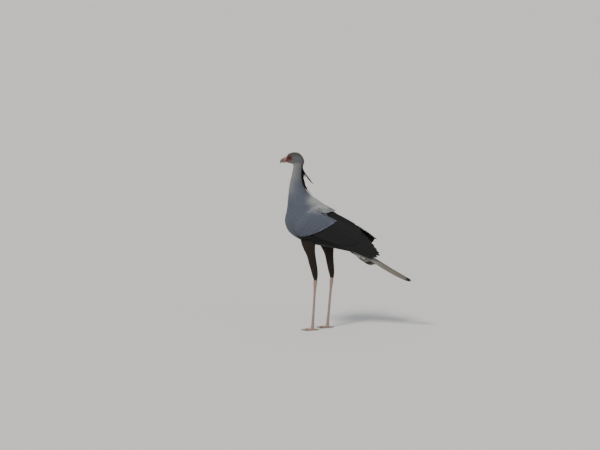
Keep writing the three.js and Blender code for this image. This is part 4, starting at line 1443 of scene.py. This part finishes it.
sets = []
for side in (LEFT, RIGHT):
    for i, (length, angle, spread) in enumerate(RECTRICES):
        level = (1.2 if side == LEFT else 2.9) if i == 0 else -1.7 * i
        sheet_left = 0.03 + 0.16 * i + (0.08 if side == RIGHT else 0)
        vanes = laid(
            tail_roof,
            np.array([TAIL_START]),
            np.array([side * angle]),
            length + 8 * (chance.random() - 0.5) - TAIL_START,
            2 * spread,
            through([[0, level], [1, level]]),
            FLIGHT_OUTLINE,
            middle_tail_tone if i == 0 else side_tail_tone,
            ((0, 500), (-2, 2), (sheet_left + 0.03, 0.02, sheet_left + 0.03, 0.02)),
            fan=True,
            across=[side * x for x in (FLIGHT_COLUMNS if side == LEFT else FLIGHT_COLUMNS[::-1])],
            along=FLIGHT_ROWS if i else np.linspace(0, 1, 33),
            shaft=side * 0.15 if i else 0,
            quill=0.5 if i else 0,
            droop=0.6,
            ragged=0.01,
            patch=(0.06, 0.6),
        )
        sets.append(vanes)
for rows, level, long in ((10, 4.4, 146), (11, 5.6, 118), (12, 6.8, 92), (13, 8.0, 66)):
    middle = (np.arange(rows) - (rows - 1) / 2) / (rows - 1) * 2.3
    vanes = laid(
        tail_roof,
        np.full(rows, 8.0),
        middle,
        long * (1 + 0.07 * chance.standard_normal(rows)) - 14 * np.abs(middle),
        21.0,
        through([[0, level + 4], [0.5, level + 1], [1, level - 2]]),
        CONTOUR_OUTLINE,
        white_tone,
        ((0, 500), (-2, 2), (0.05, 0.7, 0.95, 0.95)),
        across=(-0.5, -0.35, -0.18, 0, 0.18, 0.35, 0.5),
        along=(0, 0.2, 0.4, 0.55, 0.7, 0.82, 0.91, 0.97, 1),
        turn=0.02 * chance.standard_normal(rows),
        slope=0.8,
        droop=1.2,
    )
    sets.append(vanes)
plumage("tail_feathers", sets, stiff_feather, "grey_plumage", "tail")


# Crest
# Long spoon-shaped plumes hang from the nape in loose layers. They are ash grey where they leave
# the nape and black over their broad ends.

PLUME_ROOT = 16  # length over which a plume comes out through the nape
PLUME_OUTLINE = through([[0, 0.3], [0.35, 0.42], [0.6, 0.7], [0.8, 1], [0.93, 0.8], [1, 0.15]])
nape_at = through(
    [
        [880, -84],
        [905, -104],
        [938, -129],
        [981, -146],
        [1027, -152],
        [1075, -155],
        [1098, -151],
        [1118, -142],
        [1144, -144],
    ]
)
# Rows of [root height, length, sideways lean, width, turn, how far it stands off the neck, how far
# its tip does, the share of its length after which it leaves the neck]
PLUMES = [
    (1101, 208, -1, 18, 0.5, -2, 12, 0.55),
    (1103, 186, 9, 18, 0.4, -2, 8, 0.6),
    (1104, 170, -11, 18, -0.4, -2, 7, 0.6),
    (1107, 176, -5, 18, 0.5, 1, 13, 0.6),
    (1109, 154, 6, 17, -0.5, 1, 11, 0.6),
    (1111, 140, 2, 18, 0.5, 4, 13, 0.6),
    (1113, 128, -9, 17, 0.5, 3, 10, 0.6),
    (1115, 114, 10, 17, -0.5, 3, 9, 0.6),
    (1117, 104, -3, 17, 0.55, 6, 12, 0.5),
    (1120, 92, 5, 16, -0.5, 6, 11, 0.5),
    (1122, 158, -3, 22, 0.55, 7, 68, 0.3),
    (1125, 144, 4, 20, 0.5, 8, 60, 0.32),
    (1128, 120, 8, 16, -0.4, 7, 26, 0.4),
    (1131, 106, -7, 15, 0.45, 5, 19, 0.4),
    (1135, 94, -10, 15, 0.45, 4, 13, 0.4),
    (1138, 82, 5, 14, -0.4, 4, 11, 0.4),
    (1142, 70, -5, 14, 0.4, 3, 9, 0.4),
    (1146, 56, 4, 13, -0.35, 2, 7, 0.4),
]


def plume_tone(p, q, t, edge):
    return blended((0.08, 0.078, 0.07), BLACK, ramp(t, 0.15, 0.45))


sets = []
for k, (root, length, lean, width, turn, near, off, leaves) in enumerate(PLUMES):
    rooted = PLUME_ROOT / length

    def plume(t, u):
        free = np.clip((t - leaves) / (1 - leaves), 0, 1.2)
        stand = near - (near + 9) * (1 - ramp(t, 0, rooted)) + (off - near) * free**1.3
        twist = turn * ramp(t, 0.1, 0.8)
        z = root - length * t
        x = lean * (0.3 + 1.5 * t) + u * width * np.cos(twist)
        return np.stack([x, nape_at(z)[0] + stand + u * width * np.sin(twist), z], -1)

    sets.append(
        laid(
            plume,
            np.array([0.0]),
            np.array([0.0]),
            1.0,
            1.0,
            through([[0, 0.2], [1, 0]]),
            PLUME_OUTLINE,
            plume_tone,
            ((0, 10), (-1, 1), (0.03 + 0.05 * k, 0.05, 0.03 + 0.05 * k, 0.05)),
            fan=True,
            across=(-0.5, -0.4, -0.25, -0.1, 0, 0.1, 0.25, 0.4, 0.5),
            along=np.linspace(0, 1, 25) ** 0.9,
            quill=0.5,
            thick=0.3,
            droop=1.0,
            ragged=0.012,
            patch=(0.03, 0.9),
        )
    )
plumage("crest_plumes", sets, stiff_feather, "face_plumage")


# Bill
# A short deep hooked bill of horn: a soft cere at its root with a slit of a nostril, a rounded ridge,
# and cutting edges that close over the lower half. Faint growth lines run across it.

# Rows of [a, top, bottom, half width], from the tip back to the root
upper_bill_at = through(
    [
        [-49, -13.4, -14.8, 0.3],
        [-48.4, -10.6, -15.3, 0.9],
        [-47, -5.5, -15.2, 1.7],
        [-44.5, 0.6, -14, 2.8],
        [-39, 8, -10, 4.8],
        [-30, 14.5, -7.2, 7],
        [-20, 18.5, -6.6, 9],
        [-10, 20.8, -7, 10.8],
        [0, 22, -7, 12.2],
    ]
)
lower_bill_at = through(
    [
        [-39, -9.8, -10.8, 0.5],
        [-38, -8.2, -11.9, 1.9],
        [-35.5, -6.3, -12.9, 3.4],
        [-31, -5, -13.8, 5],
        [-22, -5, -15.8, 7.5],
        [-12, -5, -16.8, 9.5],
        [0, -5, -17, 11],
    ]
)
NOSTRIL = {"a": -8.5, "h": 9.5, "length": 4.4, "height": 1.5}
horn = Finish("bill_horn", Roughness=0.36, Specular_IOR_Level=0.5, Coat_Weight=0.25, Coat_Roughness=0.3)
tint = horn.make("Attribute", {"attribute_name": "Horn"})
place = horn.make("TexCoord", output=3)
growth = horn.make("TexNoise", None, {"Vector": place, "Scale": 160.0, "Detail": 6.0, "Distortion": 0.6})
grain = horn.make("TexNoise", None, {"Vector": place, "Scale": 1100.0, "Detail": 3.0})
horn.wear(
    Base_Color=horn.weathered(tint, (0.5, 0.46, 0.45), growth * 1.4 - 0.4),
    Roughness=0.3 + 0.2 * growth,
)
horn.bump(growth * 0.6 + grain * 0.5, 0.3, 0.0004)


def nostril(a, h):
    """Distance from the middle of the nostril, 1 on its rim."""
    return np.hypot((a - NOSTRIL["a"]) / NOSTRIL["length"], (h - NOSTRIL["h"]) / NOSTRIL["height"])


def bill_form(profile, tip, upper):
    def at(t, angle, reach):
        # The root of the horn runs on under the skin of the face
        a = 5 + (tip - 5) * (1 - t**1.7) ** 1.25
        top, bottom, half_width = profile(a)
        middle, half = (top + bottom) / 2, (top - bottom) / 2
        x = np.sin(angle) * reach * half_width
        h = middle + half * np.cos(angle) * reach
        if upper:
            # The soft cere swells over the root of the horn, and the nostril is sunk in it
            cere = ramp(a, -13.5, -11)
            groove = np.exp(-(((a + 12.6) / 0.8) ** 2))
            edge = np.exp(-(((h - bottom) / 1.4) ** 2)) * 0.35
            push = 0.45 * cere - 0.5 * groove - 2.2 * (1 - ramp(nostril(a, h), 0.35, 1)) + edge
            push = push * (a > -40) * np.abs(np.sin(angle)) * reach
            x = x + np.sign(x) * push
        return head_place(x, a, h)

    return at


for name, profile, tip, upper in (
    ("bill_upper", upper_bill_at, -49, True),
    ("bill_lower", lower_bill_at, -39, False),
):
    bm = bmesh.new()
    loft(bm, 70, 56, bill_form(profile, tip, upper))
    mesh = mesh_of(f"{name}_horn", bm)
    a, h = head_frame(read(mesh.vertices, "co", 3) * 1000 - SHIFT)
    tone = blended((0.08, 0.06, 0.057), (0.175, 0.122, 0.113), ramp(a, -46, -26))
    tone = blended(tone, (0.25, 0.135, 0.105), 0.75 * ramp(a, -17, -9.5))
    tone = blended(tone, ORANGE_SKIN, 0.92 * ramp(a, -8, -1))
    # The nostril is painted nearly black: painted shade in its hollow.
    tone = blended(tone, (0.03, 0.018, 0.016), (1 - ramp(nostril(a, h), 0.4, 1.1)) * upper)
    stained(mesh, "Horn", tone)
    piece = piece_of(f"{name}_horn", mesh, horn)
    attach(piece, "root")
    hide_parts(name)


# Eyes
# Each eye is a wet ball with a dark pupil in a brown iris, set in the lids of the skin. Long stiff
# black lashes grow from the rim of the upper lid and sweep up and back.

eye_finish = Finish(
    "eye", Roughness=0.12, Specular_IOR_Level=0.25, Coat_Weight=0.35, Coat_Roughness=0.02
)
place = eye_finish.make("TexCoord", output=3)
eye_centre = placed(head_place(0, EYE_PLACE["a"], EYE_PLACE["h"]))
offset = eye_finish.make("VectorMath", {"operation": "SUBTRACT"}, {0: place, 1: tuple(eye_centre)})
flat = eye_finish.make("VectorMath", {"operation": "MULTIPLY"}, {0: offset, 1: (0, 1000, 1000)})
radial = eye_finish.make("VectorMath", {"operation": "LENGTH"}, {0: flat}, output=1)
fibre = eye_finish.make("TexNoise", None, {"Vector": flat, "Scale": 1.6, "Detail": 6.0})
iris = eye_finish.make(
    "ValToRGB",
    {
        "stops": [
            (0.0, (0.003, 0.002, 0.002)),
            (0.32, (0.003, 0.002, 0.002)),
            (0.35, (0.03, 0.014, 0.007)),
            (0.52, (0.07, 0.032, 0.013)),
            (0.68, (0.035, 0.016, 0.008)),
            (0.75, (0.006, 0.004, 0.004)),
        ]
    },
    {0: radial / 10 + (fibre - 0.5) * 0.02},
)
eye_finish.wear(Base_Color=iris)
for side, name in ((LEFT, "left"), (RIGHT, "right")):
    bm = bmesh.new()
    bmesh.ops.create_uvsphere(bm, u_segments=48, v_segments=28, radius=EYE_PLACE["radius"] / 1000)
    centre = placed(head_place(side * EYE_PLACE["x"], EYE_PLACE["a"], EYE_PLACE["h"]))
    bmesh.ops.translate(bm, verts=bm.verts, vec=centre)
    piece = piece_of(f"eyeball_{name}", mesh_of(f"eyeball_{name}", bm), eye_finish)
    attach(piece, "root")
    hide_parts(f"eye_{name}")

LASHES = 11
LASH_ROOT = LID_RADIUS - 0.3
lash_form = bmesh.new()
for side in (LEFT, RIGHT):
    for k in range(LASHES):
        around = math.radians(18 + 144 * k / (LASHES - 1) + 5 * (chance.random() - 0.5))
        da, dh = LID_OPENING[0] * math.cos(around), LID_OPENING[1] * math.sin(around)
        dx = math.sqrt(LASH_ROOT**2 - da**2 - dh**2)
        root = np.array([dx, da, dh])
        length = 12.5 + 1.5 * (chance.random() - 0.5)
        start = np.array([0.75, 0.45 * math.cos(around) + 0.1, 0.5])
        bend = np.array([-0.1, 0.5, 0.75])

        def lash(t, angle, reach):
            run = t[:, None]
            middle = root + length * (run * start * (1 - 0.4 * run) + 0.45 * run**2 * bend)
            radius = 0.42 * (1 - 0.85 * t) * reach
            x, a, h = (middle + radius[:, None] * np.stack([0 * t, np.cos(angle), np.sin(angle)], -1)).T
            return head_place(side * (EYE_PLACE["x"] + x), EYE_PLACE["a"] + a, EYE_PLACE["h"] + h)

        loft(lash_form, 7, 6, lash)
lash_finish = Finish("lash", Base_Color=(0.008, 0.007, 0.007, 1), Roughness=0.45)
lashes = piece_of("lashes", mesh_of("lashes", lash_form), lash_finish)
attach(lashes, "root")


# Scales of the legs and toes
# Broad horny plates overlap down the front and the back of the long shank and across the top of each
# toe, and small round scales fill the sides between them.

SCALE_OUTLINE = through([[0, 0.96], [0.8, 1], [0.93, 0.95], [1, 0.8]])
SCALE_RISE = through([[0, -0.6], [0.2, 0.1], [0.85, 0.6], [1, 0.1]])
PEBBLE_OUTLINE = through([[0, 0.4], [0.25, 0.9], [0.5, 1], [0.75, 0.9], [1, 0.4]])
PEBBLE_RISE = through([[0, -0.35], [0.25, 0.35], [0.5, 0.5], [0.75, 0.4], [1, -0.3]])
scale_finish = Finish("leg_scale", Roughness=0.45, Specular_IOR_Level=0.45)
tint = scale_finish.make("Attribute", {"attribute_name": "Plumage"})
place = scale_finish.make("TexCoord", output=3)
stain = scale_finish.make("TexNoise", None, {"Vector": place, "Scale": 140.0, "Detail": 5.0})
rub = scale_finish.make("TexNoise", None, {"Vector": place, "Scale": 900.0, "Detail": 3.0})
scale_finish.wear(
    Base_Color=scale_finish.weathered(tint, (0.45, 0.4, 0.38), stain * 1.5 - 0.45),
    Roughness=0.38 + 0.22 * stain,
)
scale_finish.bump(rub * 0.7 + stain * 0.4, 0.35, 0.0004)


def scale_tone(p, q, t, edge):
    worn = blended(LEG_SKIN, (0.5, 0.38, 0.31), ramp(t, 0.4, 0.95))
    # Each scale is darker along its rim and towards its root.
    darkening = np.maximum(ramp(edge, 0.8, 1), 1 - ramp(t, 0.05, 0.25))
    return blended(worn, (0.16, 0.11, 0.09), 0.6 * darkening)


def plates(surface, starts, facing, length, span, unwrap, **form):
    """A row of broad plates, each as wide as span in radians."""
    form.update(rise=SCALE_RISE, outline=SCALE_OUTLINE, tone=scale_tone, unwrap=unwrap)
    facings = np.full(len(starts), facing)
    return laid(surface, starts, facings, length, span, fan=True, uneven=0.07, **form)


def pebbles(surface, reach, facing, half, gap, length, width, unwrap, **form):
    """A strip of small round scales, half so many radians to each side of where it faces."""
    strip = (facing - half, facing + half)
    root_p, root_q = staggered(surface, reach, strip, lambda p: gap, lambda p: gap, 0.25)
    form.update(rise=PEBBLE_RISE, outline=PEBBLE_OUTLINE, tone=scale_tone, unwrap=unwrap)
    form.update(across=(-0.5, -0.2, 0.2, 0.5), along=(0, 0.3, 0.7, 1), uneven=0.09)
    return laid(surface, root_p, root_q, length, width, **form)


SHANK_PLATE = {
    "across": (-0.5, -0.4, -0.25, -0.1, 0.1, 0.25, 0.4, 0.5),
    "along": (0, 0.25, 0.5, 0.7, 0.85, 0.95, 1),
    "droop": 0.35,
    "thick": 0.25,
}
TOE_PLATE = {
    "across": (-0.5, -0.36, -0.18, 0, 0.18, 0.36, 0.5),
    "along": (0, 0.3, 0.6, 0.82, 0.95, 1),
    "droop": 0.3,
    "thick": 0.22,
}
for name, leg in LEGS.items():

    def shin(down, angle):
        return shank(leg, down, angle)

    sets = []
    unwrap = ((0, 330), (-4, 4), (0.02, 0.02, 0.6, 0.95))
    for facing, count in ((math.pi / 2, 25), (-math.pi / 2, 27)):
        down = np.linspace(0, SHANK_LENGTH - 9, count)
        sets.append(plates(shin, down, facing, 16.0, 2.0, unwrap, **SHANK_PLATE))
    for facing in (0, math.pi):
        sets.append(pebbles(shin, (2, 312), facing, 0.72, 3.0, 4.0, 3.4, unwrap, droop=0.35, thick=0.12))
    for number, toe in enumerate(TOES.values()):

        def digit(along, angle):
            return toe_point(leg, toe, along, angle)

        length = toe["length"]
        unwrap = ((0, 70), (-4, 4), (0.62 + 0.09 * number, 0.02, 0.7 + 0.09 * number, 0.95))
        starts = np.linspace(4, length - 5, round(length / 4.6))
        sets.append(plates(digit, starts, math.pi / 2, 6.8, 2.1, unwrap, **TOE_PLATE))
        for facing in (-0.08, math.pi + 0.08):
            sets.append(
                pebbles(digit, (3, length - 3), facing, 0.5, 2.4, 3.2, 2.8, unwrap, droop=0.3, thick=0.1)
            )
    plumage(f"leg_scales_{name}", sets, scale_finish, "leg_skin")


# Claws
# Short blunt claws of dark horn grow from the end of each toe and bend down to the ground. Their
# tips are worn round, and a paler dust lies in the grain.

CLAW_BEND = 1.15
CLAW_SLANT = 0.15
claw_finish = Finish("claw", Roughness=0.4, Specular_IOR_Level=0.5)
place = claw_finish.make("TexCoord", output=3)
wear = claw_finish.make("TexNoise", None, {"Vector": place, "Scale": 420.0, "Detail": 5.0})
claw_finish.wear(
    Base_Color=claw_finish.mix((0.016, 0.013, 0.012), (0.09, 0.075, 0.062), wear * 1.6 - 0.5),
    Roughness=0.3 + 0.25 * wear,
)
claw_finish.bump(wear, 0.3, 0.0003)
for name, leg in LEGS.items():
    bm = bmesh.new()
    for toe in TOES.values():
        ahead, across, root = toe_axes(leg, toe)

        def claw(t, angle, reach):
            radius = toe["tip"] * 0.62 * (1 - t) + 0.75 * t
            turned = CLAW_SLANT + CLAW_BEND * t
            forward = (np.sin(turned) - math.sin(CLAW_SLANT)) * toe["claw"] / CLAW_BEND
            drop = (math.cos(CLAW_SLANT) - np.cos(turned)) * toe["claw"] / CLAW_BEND
            up = toe["tip"] - SINK + 2.6 - drop * 0.48 + radius * np.sin(angle) * reach
            slant = radius * np.sin(angle) * np.sin(turned) * reach * t
            flat = root + (toe["length"] + 0.3 + forward + slant)[:, None] * ahead
            flat = flat + (radius * 0.75 * np.cos(angle) * reach)[:, None] * across
            flat[:, 2] = np.maximum(up, 0.1)
            return flat

        loft(bm, 20, 20, claw)
    piece = piece_of(f"claws_{name}", mesh_of(f"claws_{name}", bm), claw_finish)
    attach(piece, "root")
    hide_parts(*(f"claw_{name}_{toe}" for toe in TOES))


# Camera
# The camera stands to the bird's left and a little above it, far off with a long lens, as in the
# photo. One pixel of the frame, 600 pixels wide, shows PIXEL millimetres of the bird.

DISTANCE, ELEVATION, PIXEL = 16.0, math.radians(7), 6.6
FRAME_WIDTH, SENSOR = 600, 36
camera_data = bpy.data.cameras.new("camera")
camera = piece_of("camera", camera_data)
bpy.context.scene.camera = camera
aim = placed(np.array([0, -25 * PIXEL, 695.7]))
camera.location = (
    aim[0] + DISTANCE * math.cos(ELEVATION),
    aim[1],
    aim[2] + DISTANCE * math.sin(ELEVATION),
)
camera.rotation_euler = (math.pi / 2 - ELEVATION, 0, math.pi / 2)
camera_data.sensor_width = SENSOR
camera_data.lens = SENSOR * DISTANCE / (FRAME_WIDTH * PIXEL / 1000)
camera_data.clip_end = 400


# Floor and studio light
# A wide pale matt floor, a warm key light from behind the camera's shoulder, a broad cool fill from
# the bird's front, and an even pale sky over both.

floor_mesh = bmesh.new()
bmesh.ops.create_grid(floor_mesh, x_segments=2, y_segments=2, size=160)
floor_data = bpy.data.meshes.new("floor")
floor_mesh.to_mesh(floor_data)
floor_mesh.free()
floor_finish = Finish("pale_floor", Roughness=0.8)
floor_finish.wear(Base_Color=(0.78, 0.76, 0.73, 1))
floor_data.materials.append(floor_finish.material)
floor = piece_of("floor", floor_data)

for name, ahead, width, power, colour in (
    ("key", (-0.62, 0.42, -0.9), 14, 2.3, (1.0, 0.965, 0.92)),
    ("fill", (-0.9, -0.75, -0.35), 50, 0.45, (0.93, 0.96, 1.0)),
):
    lamp_data = bpy.data.lights.new(name, "SUN")
    lamp_data.angle, lamp_data.energy, lamp_data.color = math.radians(width), power, colour
    lamp = piece_of(name, lamp_data)
    lamp.location = (0, 0, 3)
    lamp.rotation_euler = Vector(ahead).to_track_quat("-Z", "Y").to_euler()
world = bpy.data.worlds.new("studio")
world.use_nodes = True
world.node_tree.nodes["Background"].inputs["Color"].default_value = (0.88, 0.92, 0.98, 1)
world.node_tree.nodes["Background"].inputs["Strength"].default_value = 0.5
bpy.context.scene.world = world
